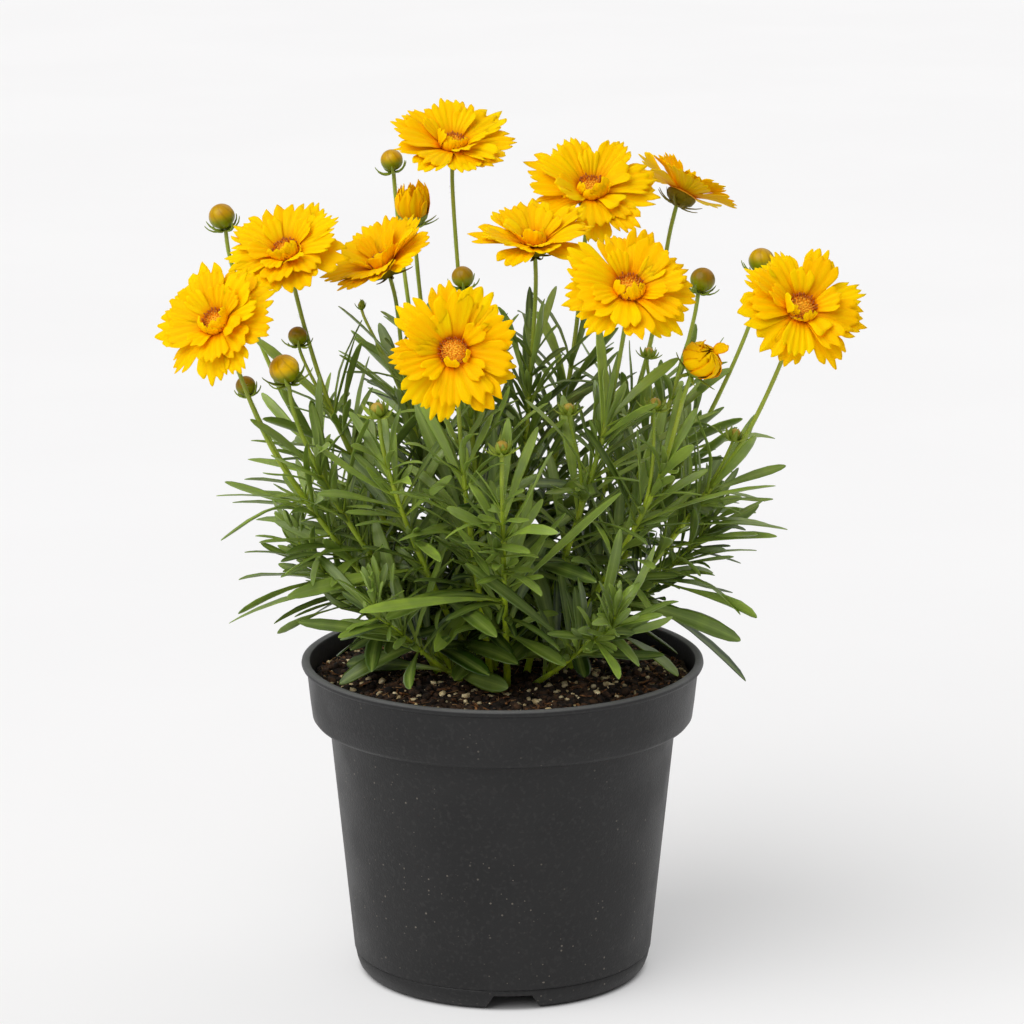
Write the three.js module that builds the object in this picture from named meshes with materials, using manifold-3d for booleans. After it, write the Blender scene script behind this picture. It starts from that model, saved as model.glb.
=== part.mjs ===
// A potted coreopsis: a semi-double golden tickseed growing in a round plastic nursery pot.
// Millimetres, +Z up. The origin is the middle of the pot's base, and the plant's front faces -Y.
// Every leafy stem, every bloom's ring of petals, every disc and every large bud is its own solid.
import * as THREE from "three";
import { mergeVertices } from "three/addons/utils/BufferGeometryUtils.js";
import Module from "manifold-3d";

const wasm = await Module();
wasm.setup();

// ---------------------------------------------------------------- driving dimensions

const GAP = 0.35; // air between pieces that touch on the real plant

const POT = {
  height: 136,
  lipRadius: 85,
  lipDrop: 3.2,
  lipRound: 0.7,
  bandTopRadius: 82.8,
  bandFootRadius: 80.6,
  bandHeight: 26.5,
  shoulder: 2.2, // rise and reach of the rounded step up to the band
  bodyTopRadius: 73.4,
  bodyFootRadius: 63.4,
  baseTopRadius: 62.2,
  baseRadius: 60.2,
  baseRound: 2.6,
  baseEdge: 9,
  wall: 1.6,
  floor: 3,
  sides: 34,
};
// Drainage channels under the base, `foot` wide at the table and `width` wide at their roof.
const NOTCH = { count: 3, width: 16, foot: 23, height: 5.2, depth: 16, turn: 184 };

const SOIL = { level: 128.5, crownRise: 4.5, sides: 24, clearance: 1.8, widening: 8 };
// The soil's top as [share of its radius, number of corners].
const SOIL_TOP = [
  [1, 24],
  [0.78, 14],
  [0.42, 7],
];
const RELIEF = { height: 1.3, longWave: 0.085, shortWave: 0.23 };

const STEM = {
  buried: 8,
  footRadius: 1.75,
  tipRadius: 1,
  sides: 4,
  rootShare: 0.2, // a root stands this share of the way out to its head
  rootSpacing: 7.4,
  neck: 12,
  twist: 0.6,
  room: 0.5, // air kept round a growing stem
  shootPoint: 3,
};
const STEM_STATIONS = [0, 0.14, 0.36, 0.62, 0.88, 1];
// A stem bows outwards a little: at each share of its height, its share of the way out to its head.
const STEM_BOW = [
  [0.1, 0.09],
  [0.34, 0.4],
  [0.68, 0.79],
];
const BRANCH_STATIONS = [0, 0.35, 0.75, 1];
const BRANCH = { footRadius: 1, tipRadius: 0.75, rise: 0.45, neck: 6 };

// Ways round what already stands there, mildest first: how far a stem bows sideways.
const SWAYS = [0, 4, -4, 8, -8, 12, -12, 17, -17, 22, -22];

// The leaves fill a dome over the pot: stems stay bare outside it.
const DOME = { radius: 98, height: 132, squareness: 3 };
const LEAF = {
  internode: 20,
  firstNode: 7,
  firstScatter: 12,
  lowest: { length: 54, width: 10.5, spread: 70, bend: 46 },
  middle: { length: 66, width: 8, spread: 46, bend: 26 },
  upper: { length: 46, width: 6.4, spread: 34, bend: 14 },
  keel: 1.3,
  inset: 0.3,
  bare: 3,
  shortened: 0.72,
  rings: [
    [0.35, 0.68],
    [0.8, 1],
  ],
  smallRings: [[0.65, 1]],
  smallFrom: 0.75,
};
// How much chance there is in each leaf: shares of its size or spacing, degrees of its spread, radians round.
const LEAF_CHANCE = { internode: 0.15, length: 0.15, spread: 7, azimuth: 0.14 };
// Ways a leaf bends out of its neighbours' way, mildest first: degrees round the stem and away from it.
const LEAF_TURNS = [0, 14, -14, 28, -28, 42, -42];
const LEAF_SPREADS = [0, 12, -10];

// The green cups under the heads: narrow bracts round a bowl that dips in between them.
const BLOOM_CALYX = { bracts: 8, reach: 10.5, curl: 4, radius: 6.9, height: 5.6 };
const OPENING_CALYX = { bracts: 7, reach: 10, curl: 5.5, radius: 4.2, height: 2.8 };
const CALYX_DIP = { out: 0.5, up: 0.3 };
// A bloom at full size: the ring that its petals spring from, and the dome of florets on it.
const BLOOM = { ringThickness: 2, ringSides: 8, ringInset: 0.3, layerStep: 0.4 };
const DISC = { radius: 5.2, rise: 2.6, sides: 10, rings: [1, 0.66, 0.32], edge: 0.8, peak: 0.75 };
// Outlines of a petal as [share of its length, share of its half width], from the root round by the left
// edge, then the points on its middle line. The blade is covered by fans round the middle points: `fans`
// lists, for each of them, the run of the rim that it covers.
const BROAD_PETAL = {
  rim: [
    [0, 0],
    [0.42, -0.62],
    [0.78, -1],
    [0.93, -0.84],
    [0.87, -0.54],
    [1, -0.28],
    [0.93, 0],
    [1, 0.28],
    [0.87, 0.54],
    [0.93, 0.84],
    [0.78, 1],
    [0.42, 0.62],
  ],
  middle: [
    [0.62, 0],
    [0.25, 0],
  ],
  fans: [
    [1, 11],
    [11, 13],
  ],
};
const NARROW_PETAL = {
  rim: [
    [0, 0],
    [0.6, -1],
    [0.92, -0.68],
    [0.83, -0.32],
    [1, 0],
    [0.83, 0.32],
    [0.92, 0.68],
    [0.6, 1],
  ],
  middle: [[0.5, 0]],
  fans: [[0, 8]],
};

// Rings of petals from the outside in. reach is the petal's tip from the bloom's middle at full size.
const WHORLS = [
  { count: 8, reach: 27.5, halfWidth: 8.6, lift: 8, droop: 7.5, root: 4.6, turn: 0, outline: BROAD_PETAL },
  { count: 5, reach: 20.5, halfWidth: 6.8, lift: 14, droop: 9, root: 4.6, turn: 24, outline: NARROW_PETAL },
  { count: 2, reach: 14, halfWidth: 4, lift: 12, droop: 3, root: 5, turn: 48, outline: NARROW_PETAL },
];
const PETAL = { thickness: 0.9, channel: 0.8, roll: 9, lift: 1.2 };

const SEED = 20417;

// Blooms: where the middle of the disc is, the way it faces, and its size against a full bloom of 55 mm.
const BLOOMS = [
  { name: "01", at: [-21, 45, 350], facing: [0.02, -0.4, 0.91], size: 0.95, turn: 5 },
  { name: "02", at: [38, 40, 331], facing: [0.14, -0.64, 0.76], size: 1.04, turn: 20 },
  { name: "03", at: [79, 75, 325], facing: [0.46, 0.26, 0.85], size: 0.86, turn: 10 },
  { name: "04", at: [-90, -5, 312], facing: [-0.22, -0.62, 0.75], size: 0.93, turn: 35 },
  { name: "05", at: [-51, 10, 305], facing: [-0.42, -0.34, 0.84], size: 0.9, turn: 0 },
  { name: "06", at: [13, 1, 316], facing: [-0.06, -0.2, 0.97], size: 0.86, turn: 15 },
  { name: "07", at: [51, -65, 307], facing: [0.08, -0.74, 0.67], size: 1.0, turn: 28 },
  { name: "08", at: [122, -40, 294], facing: [0.24, -0.8, 0.55], size: 0.99, turn: 12 },
  { name: "09", at: [-116, -55, 291], facing: [-0.4, -0.72, 0.57], size: 0.94, turn: 40 },
  { name: "10", at: [-19, -95, 286], facing: [-0.05, -0.95, 0.3], size: 0.98, turn: 22 },
];
// Blooms still opening, given by their middles: a cup of upright petals.
// Its rings are [share of its radius, share of its height], and every other petal is tucked in.
const CUP_RINGS = [
  [0.55, 0.19],
  [0.98, 0.42],
  [1, 0.6],
  [0.72, 0.86],
];
const CUP = { sides: 10, tucked: 0.88, middle: 0.8 };
const LOOSE_PETAL = { count: 3, root: 2, reach: 1.5, halfWidth: 3, lift: 0.95, droop: 3, turn: 12 };
const OPENING = [
  { name: "opening_01", at: [-38, 50, 320], facing: [-0.08, -0.1, 0.99], radius: 7.6, height: 17 },
  { name: "opening_02", at: [80, -60, 275], facing: [0.5, -0.45, 0.74], radius: 7.8, height: 15 },
];
// A bud's outline as [share of its radius, height in radii], its tip, and its cup in radii.
const BUD_RINGS = [
  [0.66, 0.2],
  [1, 0.9],
  [0.66, 1.62],
];
const BUD = { sides: 9, tip: 1.92, middle: 1.1, bracts: 6 };
const BUD_CUP = { reach: 1.5, curl: 0.75, radius: 0.55, height: 0.16 };
// A green bud is closed by further rings over its cup, drawn in to a tip.
const GREEN_RINGS = [
  [1, 0.85],
  [0.62, 1.55],
];
const GREEN_BUD = { tip: 1.9, middle: 1, bracts: 5 };
// Round buds, given by their middles. One that is `on` a stem ends a side branch of it, which starts
// `from` this share of the stem.
const BUDS = [
  { name: "bud_01", at: [-119, 45, 317], facing: [-0.25, -0.1, 0.96], radius: 5.6 },
  { name: "bud_02", at: [-48, 85, 335], facing: [-0.15, 0, 0.99], radius: 4.9 },
  { name: "bud_03", at: [-16, -40, 306], facing: [-0.1, -0.1, 0.99], radius: 4.5 },
  { name: "bud_04", at: [84, 21, 294], facing: [0.3, -0.1, 0.95], radius: 5.3 },
  { name: "bud_05", at: [110, 45, 298], facing: [0.15, 0, 0.99], radius: 5.6 },
  { name: "bud_06", at: [-88, -50, 270], facing: [-0.25, -0.25, 0.93], radius: 6.2 },
  { name: "bud_07", at: [-85, 0, 274], facing: [-0.1, 0, 0.99], radius: 4.1, on: "stem_04", from: 0.55 },
  { name: "bud_08", at: [-106, -15, 256], facing: [-0.3, 0, 0.95], radius: 4.2, on: "stem_09", from: 0.5 },
];
// Small buds that are still green, one piece with the stem that carries them.
const GREEN_BUDS = [
  { at: [-50, -70, 258], facing: [-0.2, -0.2, 0.96], radius: 3.9 },
  { at: [0, -95, 248], facing: [0, -0.2, 0.98], radius: 3.6 },
  { at: [27, -50, 254], facing: [0, -0.1, 0.99], radius: 3, on: "stem_07", from: 0.45 },
  { at: [62, -50, 256], facing: [0.1, -0.1, 0.98], radius: 3.4, on: "stem_12", from: 0.55 },
  { at: [96, -25, 238], facing: [0.3, 0, 0.95], radius: 3.3, on: "stem_08", from: 0.45 },
  { at: [61, 2, 267], facing: [0.2, 0, 0.97], radius: 2.9, on: "stem_16", from: 0.55 },
  { at: [-60, 38, 280], facing: [-0.1, 0, 0.99], radius: 1.9, on: "stem_05", from: 0.6 },
];
// Young shoots with leaves alone, round the foot of the clump: where each one's tip is. They lean outwards.
const SHOOT_LEAN = 0.006;
const SHOOTS = [
  [-86, -14, 196],
  [-66, 62, 202],
  [86, -12, 204],
  [66, 66, 204],
  [-52, -74, 184],
  [46, -78, 180],
  [0, 92, 200],
];

// ---------------------------------------------------------------- small helpers

const UP = new THREE.Vector3(0, 0, 1);
const vector = (list) => new THREE.Vector3(...list);
const unit = (list) => vector(list).normalize();
const mix = (a, b, share) => a + (b - a) * share;

// A seeded draw of numbers from 0 to 1, so that every build grows the same plant.
function randomFrom(seed) {
  let state = seed;
  return () => {
    state = (state + 0x6d2b79f5) | 0;
    let bits = Math.imul(state ^ (state >>> 15), 1 | state);
    bits = (bits + Math.imul(bits ^ (bits >>> 7), 61 | bits)) ^ bits;
    return ((bits ^ (bits >>> 14)) >>> 0) / 4294967296;
  };
}
const random = randomFrom(SEED);
const spreadRandom = (reach) => (random() * 2 - 1) * reach;

// A closed solid from a three.js geometry, turned face out whichever way its faces were listed.
function solidOf(geometry) {
  const plain = geometry.clone();
  plain.deleteAttribute("normal");
  plain.deleteAttribute("uv");
  const merged = mergeVertices(plain, 1e-4);
  const positions = merged.attributes.position.array;
  const make = (triVerts) => {
    const mesh = new wasm.Mesh({ numProp: 3, vertProperties: positions, triVerts });
    return new wasm.Manifold(mesh);
  };
  const made = make(new Uint32Array(merged.index.array));
  if (made.volume() > 0) return made;
  return make(new Uint32Array(merged.index.array).reverse());
}

function geometryOf(solid) {
  const mesh = solid.getMesh();
  const geometry = new THREE.BufferGeometry();
  geometry.setAttribute("position", new THREE.BufferAttribute(mesh.vertProperties, 3));
  geometry.setIndex(new THREE.BufferAttribute(mesh.triVerts, 1));
  geometry.computeVertexNormals();
  return geometry;
}

const unionOf = (solids) => wasm.Manifold.union(solids);

// The largest body of a solid: what a cut leaves loose is dropped.
function largestBody(solid) {
  const bodies = solid.decompose();
  return bodies.reduce((best, body) => (body.volume() > best.volume() ? body : best));
}

function indexedGeometry(points, triangles) {
  const geometry = new THREE.BufferGeometry().setFromPoints(points);
  geometry.setIndex(triangles.flat());
  return geometry;
}

// The triangles between two rings, which may have different numbers of points.
function strip(first, count, next, nextCount) {
  const triangles = [];
  let i = 0;
  let j = 0;
  while (i < count || j < nextCount) {
    if (i < count && (i + 1) * nextCount <= (j + 1) * count) {
      triangles.push([first + i, first + ((i + 1) % count), next + (j % nextCount)]);
      i += 1;
    } else {
      triangles.push([first + (i % count), next + ((j + 1) % nextCount), next + j]);
      j += 1;
    }
  }
  return triangles;
}

// A closed skin over rings of points. Each end is flat, or drawn in to a point if one is given.
function loft(rings, { root = null, tip = null } = {}) {
  const points = rings.flat();
  const starts = rings.map((_, i) => rings.slice(0, i).flat().length);
  const triangles = rings
    .slice(1)
    .flatMap((ring, i) => strip(starts[i], rings[i].length, starts[i + 1], ring.length));
  const close = (ring, first, point) => {
    const apex = point ? points.push(point) - 1 : first;
    const edges = ring.map((_, i) => [first + i, first + ((i + 1) % ring.length)]);
    return edges.filter((edge) => !edge.includes(apex)).map(([a, b]) => [a, b, apex]);
  };
  const lower = close(rings[0], 0, root).map(([a, b, apex]) => [b, a, apex]);
  const upper = close(rings.at(-1), starts.at(-1), tip);
  return solidOf(indexedGeometry(points, [...triangles, ...lower, ...upper]));
}

// Two directions square to the given one, the first of them as near as can be to a compass bearing.
function acrossBearing(direction, bearing) {
  const u = new THREE.Vector3(Math.cos(bearing), Math.sin(bearing), 0).projectOnPlane(direction).normalize();
  return [u, new THREE.Vector3().crossVectors(direction, u)];
}

const outAt = (u, v, angle) => u.clone().multiplyScalar(Math.cos(angle)).addScaledVector(v, Math.sin(angle));

function ringAround(centre, direction, radius, sides, bearing) {
  const [u, v] = acrossBearing(direction, bearing);
  return Array.from({ length: sides }, (_, i) => {
    const angle = (2 * Math.PI * i) / sides;
    return centre.clone().addScaledVector(outAt(u, v, angle), radius);
  });
}

// The rings of a tube that tapers along a curve.
const tubeRings = (curve, stations, footRadius, tipRadius, bearing) =>
  stations.map((t) => {
    const radius = mix(footRadius, tipRadius, t);
    return ringAround(curve.getPointAt(t), curve.getTangentAt(t), radius, STEM.sides, bearing);
  });

// The frame of a head: its origin at the given point, its +Z the way it faces.
function headFrame(at, facing, turn = 0) {
  const direction = unit(facing);
  const u = new THREE.Vector3().crossVectors(UP, direction).normalize();
  const v = new THREE.Vector3().crossVectors(direction, u);
  const frame = new THREE.Matrix4().makeBasis(u, v, direction).setPosition(vector(at));
  return frame.multiply(new THREE.Matrix4().makeRotationZ(THREE.MathUtils.degToRad(turn)));
}

const placed = (geometry, frame) => solidOf(geometry.clone().applyMatrix4(frame));

const profile = (pairs) => pairs.map(([radius, height]) => new THREE.Vector2(radius, height));

// three.js turns a profile about +Y: this stands it up about +Z.
const lathe = (pairs, sides) => new THREE.LatheGeometry(profile(pairs), sides).rotateX(Math.PI / 2);

// ---------------------------------------------------------------- room to grow

const boxesMeet = (a, b) =>
  [0, 1, 2].every((axis) => a.min[axis] <= b.max[axis] && b.min[axis] <= a.max[axis]);

const crosses = (solid, others) => {
  const box = solid.boundingBox();
  return others.some((other) => boxesMeet(box, other.box) && !solid.intersect(other.solid).isEmpty());
};

const withBox = (solid, owner) => ({ solid, owner, box: solid.boundingBox() });

// The first of several ways of growing a thing whose room crosses nothing already there.
function firstClear(ways, grow, taken) {
  for (const way of ways) {
    const grown = grow(way);
    if (!crosses(grown.room, taken)) return grown;
  }
  return null;
}

// ---------------------------------------------------------------- pot

const BAND_FOOT = POT.height - POT.bandHeight;
const POT_FLOOR = NOTCH.height + POT.floor;

function potSolid() {
  const { height, shoulder } = POT;
  const lipFoot = height - POT.lipDrop;
  const inner = (radius) => radius - POT.wall;
  const shell = lathe(
    [
      [0, 0],
      [POT.baseRadius, 0],
      [POT.baseTopRadius, POT.baseRound],
      [POT.bodyFootRadius, POT.baseEdge],
      [POT.bodyTopRadius, BAND_FOOT],
      [POT.bandFootRadius - shoulder, BAND_FOOT],
      [POT.bandFootRadius, BAND_FOOT + shoulder],
      [POT.bandTopRadius, lipFoot],
      [POT.lipRadius, lipFoot + POT.lipRound],
      [POT.lipRadius, height - POT.lipRound],
      [POT.lipRadius - POT.lipRound, height],
      [inner(POT.bandTopRadius), height],
      [inner(POT.bandFootRadius), BAND_FOOT + shoulder],
      [inner(POT.bodyTopRadius), BAND_FOOT - shoulder],
      [inner(POT.baseRadius), POT_FLOOR],
      [0, POT_FLOOR],
    ],
    POT.sides,
  );
  return solidOf(shell).subtract(unionOf(notches()));
}

function notches() {
  const below = -1;
  const outline = new THREE.Shape(
    profile([
      [-NOTCH.foot / 2, below],
      [NOTCH.foot / 2, below],
      [NOTCH.width / 2, NOTCH.height],
      [-NOTCH.width / 2, NOTCH.height],
    ]),
  );
  const channel = new THREE.ExtrudeGeometry(outline, { depth: 2 * NOTCH.depth, bevelEnabled: false });
  channel.rotateX(Math.PI / 2).rotateZ(Math.PI).translate(0, POT.baseRadius - NOTCH.depth, 0);
  return Array.from({ length: NOTCH.count }, (_, i) => {
    const angle = THREE.MathUtils.degToRad(NOTCH.turn + (360 * i) / NOTCH.count);
    return solidOf(channel.clone().rotateZ(angle));
  });
}

// ---------------------------------------------------------------- soil

const soilRelief = (x, y) =>
  RELIEF.height *
  (Math.sin(x * RELIEF.longWave + 1.3) * Math.cos(y * RELIEF.longWave - 0.4) +
    0.6 * Math.sin(x * RELIEF.shortWave - y * RELIEF.shortWave * 0.7));

// The soil's top: level at the wall, raised towards the crown, and uneven.
function soilHeight(x, y) {
  const share = Math.min(1, Math.hypot(x, y) / POT.bodyTopRadius);
  return SOIL.level + SOIL.crownRise * (1 - share * share) + soilRelief(x, y);
}

function soilSolid() {
  const inside = (radius) => radius - POT.wall - SOIL.clearance;
  const ring = (radius, corners, height) =>
    Array.from({ length: corners }, (_, i) => {
      const angle = (2 * Math.PI * i) / corners;
      const [x, y] = [radius * Math.cos(angle), radius * Math.sin(angle)];
      return new THREE.Vector3(x, y, height(x, y));
    });
  const wall = [
    [POT.baseRadius, POT_FLOOR + GAP],
    [POT.bodyTopRadius, BAND_FOOT - POT.shoulder],
    [POT.bandFootRadius, BAND_FOOT + SOIL.widening],
  ].map(([radius, z]) => ring(inside(radius), SOIL.sides, () => z));
  const top = inside(POT.bandTopRadius);
  const surface = SOIL_TOP.map(([share, corners]) => ring(top * share, corners, soilHeight));
  return loft([...wall, ...surface], { tip: new THREE.Vector3(0, 0, soilHeight(0, 0)) });
}

// ---------------------------------------------------------------- leafy stems

// Roots stand where the heads stand, drawn in towards the crown, and pushed apart until they have room.
function rootPlaces(heads) {
  const rounds = 60;
  const places = heads.map(({ at }) => new THREE.Vector2(at[0], at[1]).multiplyScalar(STEM.rootShare));
  for (let round = 0; round < rounds; round++) {
    places.forEach((a, i) =>
      places.slice(i + 1).forEach((b) => {
        const apart = a.clone().sub(b);
        const push = (STEM.rootSpacing - apart.length()) / 2;
        if (push <= 0) return;
        apart.setLength(push);
        a.add(apart);
        b.sub(apart);
      }),
    );
  }
  return places;
}

// Up out of the crown, a long lean that straightens as it climbs, then a short neck into the head.
// `sway` bows it sideways.
function stemCurve(root, tip, facing, sway) {
  const foot = new THREE.Vector3(root.x, root.y, soilHeight(root.x, root.y) - STEM.buried);
  const sideways = new THREE.Vector3(foot.y - tip.y, tip.x - foot.x, 0).setLength(sway);
  const bowed = STEM_BOW.map(([high, out]) => {
    const point = foot.clone().lerp(tip, out).setZ(mix(foot.z, tip.z, high));
    return point.addScaledVector(sideways, Math.sin(Math.PI * high));
  });
  const neck = tip.clone().addScaledVector(facing.clone().add(UP), -STEM.neck / 2);
  return new THREE.CatmullRomCurve3([foot, ...bowed, neck, tip]);
}

function branchCurve(stem, from, tip, facing, sway) {
  const start = stem.curve.getPointAt(from);
  const lean = tip.clone().sub(start);
  const rise = start.clone().addScaledVector(stem.curve.getTangentAt(from), lean.length() * BRANCH.rise);
  rise.add(new THREE.Vector3(-lean.y, lean.x, 0).setLength(sway));
  return new THREE.CubicBezierCurve3(start, rise, tip.clone().addScaledVector(facing, -BRANCH.neck), tip);
}

const insideDome = (point) => {
  const out = Math.hypot(point.x, point.y) / DOME.radius;
  const high = (point.z - SOIL.level) / DOME.height;
  return out ** DOME.squareness + high ** DOME.squareness < 1;
};

// The shape of a leaf by how high on its stem it grows: 0 at the crown, 1 at the last node.
// Its rings are [share of its length, share of its width].
function leafShape(high) {
  const isLow = high < 0.5;
  const [low, top] = isLow ? [LEAF.lowest, LEAF.middle] : [LEAF.middle, LEAF.upper];
  const share = isLow ? high * 2 : high * 2 - 1;
  const sizes = Object.keys(low).map((key) => [key, mix(low[key], top[key], share)]);
  return { ...Object.fromEntries(sizes), rings: high < LEAF.smallFrom ? LEAF.rings : LEAF.smallRings };
}

// The middle line of a leaf: it leaves the stem at `spread` degrees and arches over by `bend`.
// `inset` is how far inside the stem its root lies.
function leafLine(node, side, shape, inset) {
  const steps = 20;
  const start = node.point;
  const line = [];
  const centre = start.clone();
  for (let i = 0; i <= steps; i++) {
    const angle = THREE.MathUtils.degToRad(shape.spread + (shape.bend * i) / steps);
    const turn = (along, out) => node.direction.clone().multiplyScalar(along).addScaledVector(side, out);
    line.push({ centre: centre.clone(), below: turn(-Math.sin(angle), Math.cos(angle)) });
    centre.addScaledVector(turn(Math.cos(angle), Math.sin(angle)), shape.length / steps);
  }
  const root = start.clone().addScaledVector(line[1].centre.clone().sub(start).normalize(), -inset);
  return { root, at: (along) => line[Math.round(along * steps)], tip: line[steps].centre };
}

// A narrow blade, flat above and keeled below, drawn in to a point at its root. `swell` fattens it.
function leafSolid(node, side, shape, inset, swell = 0) {
  const wide = new THREE.Vector3().crossVectors(node.direction, side).normalize();
  const { root, at, tip } = leafLine(node, side, shape, inset);
  const rings = shape.rings.map(([along, share]) => {
    const { centre, below } = at(along);
    const half = (shape.width / 2) * share + swell;
    return [
      centre.clone().addScaledVector(wide, half).addScaledVector(below, -swell),
      centre.clone().addScaledVector(wide, -half).addScaledVector(below, -swell),
      centre.clone().addScaledVector(below, LEAF.keel + swell),
    ];
  });
  return loft(rings, { root, tip });
}

const LEAF_BENDS = [1, LEAF.shortened].flatMap((length) =>
  LEAF_TURNS.flatMap((turn) => LEAF_SPREADS.map((spread) => ({ turn, spread, length }))),
);

function clearLeaf(node, bearing, azimuth, shape, taken) {
  const [u, v] = acrossBearing(node.direction, bearing);
  return firstClear(LEAF_BENDS, (bend) => {
    const angle = azimuth + THREE.MathUtils.degToRad(bend.turn);
    const side = outAt(u, v, angle);
    const bent = { ...shape, spread: shape.spread + bend.spread, length: shape.length * bend.length };
    const leaf = leafSolid(node, side, bent, LEAF.inset);
    return { leaf, room: unionOf([leafSolid(node, side, bent, -LEAF.bare, GAP), leaf]) };
  }, taken);
}

// Where leaf pairs grow: from just above the soil up to the edge of the dome.
function leafNodes(curve) {
  const length = curve.getLength();
  const nodes = [];
  let along = STEM.buried + LEAF.firstNode + random() * LEAF.firstScatter;
  while (along < length - STEM.neck) {
    const share = along / length;
    const point = curve.getPointAt(share);
    if (!insideDome(point)) break;
    nodes.push({ point, direction: curve.getTangentAt(share) });
    along += LEAF.internode * (1 + spreadRandom(LEAF_CHANCE.internode));
  }
  return nodes;
}

// ---------------------------------------------------------------- heads

// The green cup that a stem flares into, with a star of narrow pointed bracts round its foot.
// `above` lists further rings as [radius, height], which close over a green bud.
function cupRings(at, facing, bearing, { bracts, reach, curl, radius, height, above = [] }) {
  const direction = unit(facing);
  const [u, v] = acrossBearing(direction, bearing);
  const ring = (share) =>
    Array.from({ length: 2 * bracts }, (_, i) => {
      const angle = (Math.PI * i) / bracts;
      const [distance, rise] = share(i % 2 === 0);
      return vector(at).addScaledVector(outAt(u, v, angle), distance).addScaledVector(direction, rise);
    });
  return [
    ring((isTip) => (isTip ? [reach, curl] : [radius * CALYX_DIP.out, height * CALYX_DIP.up])),
    ring(() => [radius, height]),
    ...above.map((pair) => ring(() => pair)),
  ];
}

// The triangles of one face. Two middle points also share the triangles between their fans.
function petalFaces({ rim, middle, fans }) {
  const count = rim.length;
  const faces = fans.flatMap(([from, to], fan) =>
    Array.from({ length: to - from }, (_, i) => [(from + i) % count, count + fan, (from + i + 1) % count]),
  );
  if (middle.length < 2) return faces;
  const [[from, to]] = fans;
  return [...faces, [from, count + 1, count], [to, count, count + 1]];
}

// A thin blade whose two faces share their rim and are covered alike.
function bladeGeometry(outline, place) {
  const { rim, middle } = outline;
  const rimPoints = rim.map(([along, wide]) => place(along, wide, 0));
  const upper = middle.map(([along, wide]) => place(along, wide, PETAL.thickness / 2));
  const lower = middle.map(([along, wide]) => place(along, wide, -PETAL.thickness / 2));
  const faces = petalFaces(outline);
  const underside = (i) => (i < rim.length ? i : i + middle.length);
  return indexedGeometry(
    [...rimPoints, ...upper, ...lower],
    [...faces, ...faces.map(([a, b, c]) => [underside(a), underside(c), underside(b)])],
  );
}

// One petal in the bloom's own frame: it rises from the ring and arches over. It is channelled along its
// middle, and rolled a little, so that neighbours overlap as shingles do.
function petalGeometry(whorl, outline, angle, level, rise) {
  const out = new THREE.Vector3(Math.cos(angle), Math.sin(angle), 0);
  const wide = new THREE.Vector3(-Math.sin(angle), Math.cos(angle), 0);
  const roll = Math.tan(THREE.MathUtils.degToRad(PETAL.roll));
  const place = (along, half, offset) => {
    const height = level + (whorl.lift + rise) * along - whorl.droop * along * along;
    const shape = (half * whorl.halfWidth * roll - PETAL.channel * (1 - half * half)) * along;
    return out
      .clone()
      .multiplyScalar(mix(whorl.root, whorl.reach, along))
      .addScaledVector(wide, half * whorl.halfWidth)
      .setZ(height + shape + offset);
  };
  return bladeGeometry(outline, place);
}

// All the petals of a bloom, grown together on the ring that they spring from.
function petalsSolid(bloom) {
  const base = BLOOM_CALYX.height + GAP;
  const radius = BLOOM_CALYX.radius - BLOOM.ringInset;
  const ring = lathe(
    [
      [0, base],
      [radius, base],
      [radius - BLOOM.ringInset, base + BLOOM.ringThickness],
      [0, base + BLOOM.ringThickness],
    ],
    BLOOM.ringSides,
  );
  const parts = [ring.rotateZ(Math.PI / BLOOM.ringSides)];
  WHORLS.forEach((whorl, layer) => {
    for (let i = 0; i < whorl.count; i++) {
      const angle = (2 * Math.PI * i) / whorl.count + THREE.MathUtils.degToRad(whorl.turn);
      const level = base + (layer + 1) * BLOOM.layerStep;
      parts.push(petalGeometry(whorl, whorl.outline, angle, level, spreadRandom(PETAL.lift)));
    }
  });
  const frame = headBase(bloom);
  return largestBody(unionOf(parts.map((part) => placed(part, frame))));
}

// The foot of a bloom's calyx: the disc's middle is given, and the calyx stands below it.
function headBase(bloom) {
  const down = BLOOM_CALYX.height + BLOOM.ringThickness + DISC.rise;
  const foot = vector(bloom.at).addScaledVector(unit(bloom.facing), -down * bloom.size);
  const frame = headFrame(foot.toArray(), bloom.facing, bloom.turn);
  return frame.multiply(new THREE.Matrix4().makeScale(bloom.size, bloom.size, bloom.size));
}

// The disc is a low dome of florets, each one a small peak of its own.
function discGeometry() {
  const base = BLOOM_CALYX.height + BLOOM.ringThickness + 2 * GAP;
  const top = base + DISC.rise;
  const surface = (share) => [DISC.radius * share, mix(top, base + DISC.edge, share * share)];
  const dome = DISC.rings.map(surface);
  const geometry = lathe([[0, base], [DISC.radius, base], ...dome, [0, top]], DISC.sides);
  const position = geometry.attributes.position;
  for (let i = 0; i < position.count; i++) {
    const ring = i % (dome.length + 3);
    const spoke = Math.floor(i / (dome.length + 3)) % DISC.sides;
    const onDome = ring >= 2 && ring < dome.length + 2;
    if (onDome && (ring + spoke) % 2 === 0) position.setZ(i, position.getZ(i) + DISC.peak);
  }
  return geometry;
}

const discSolid = (bloom) => placed(discGeometry(), headBase(bloom));

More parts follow.
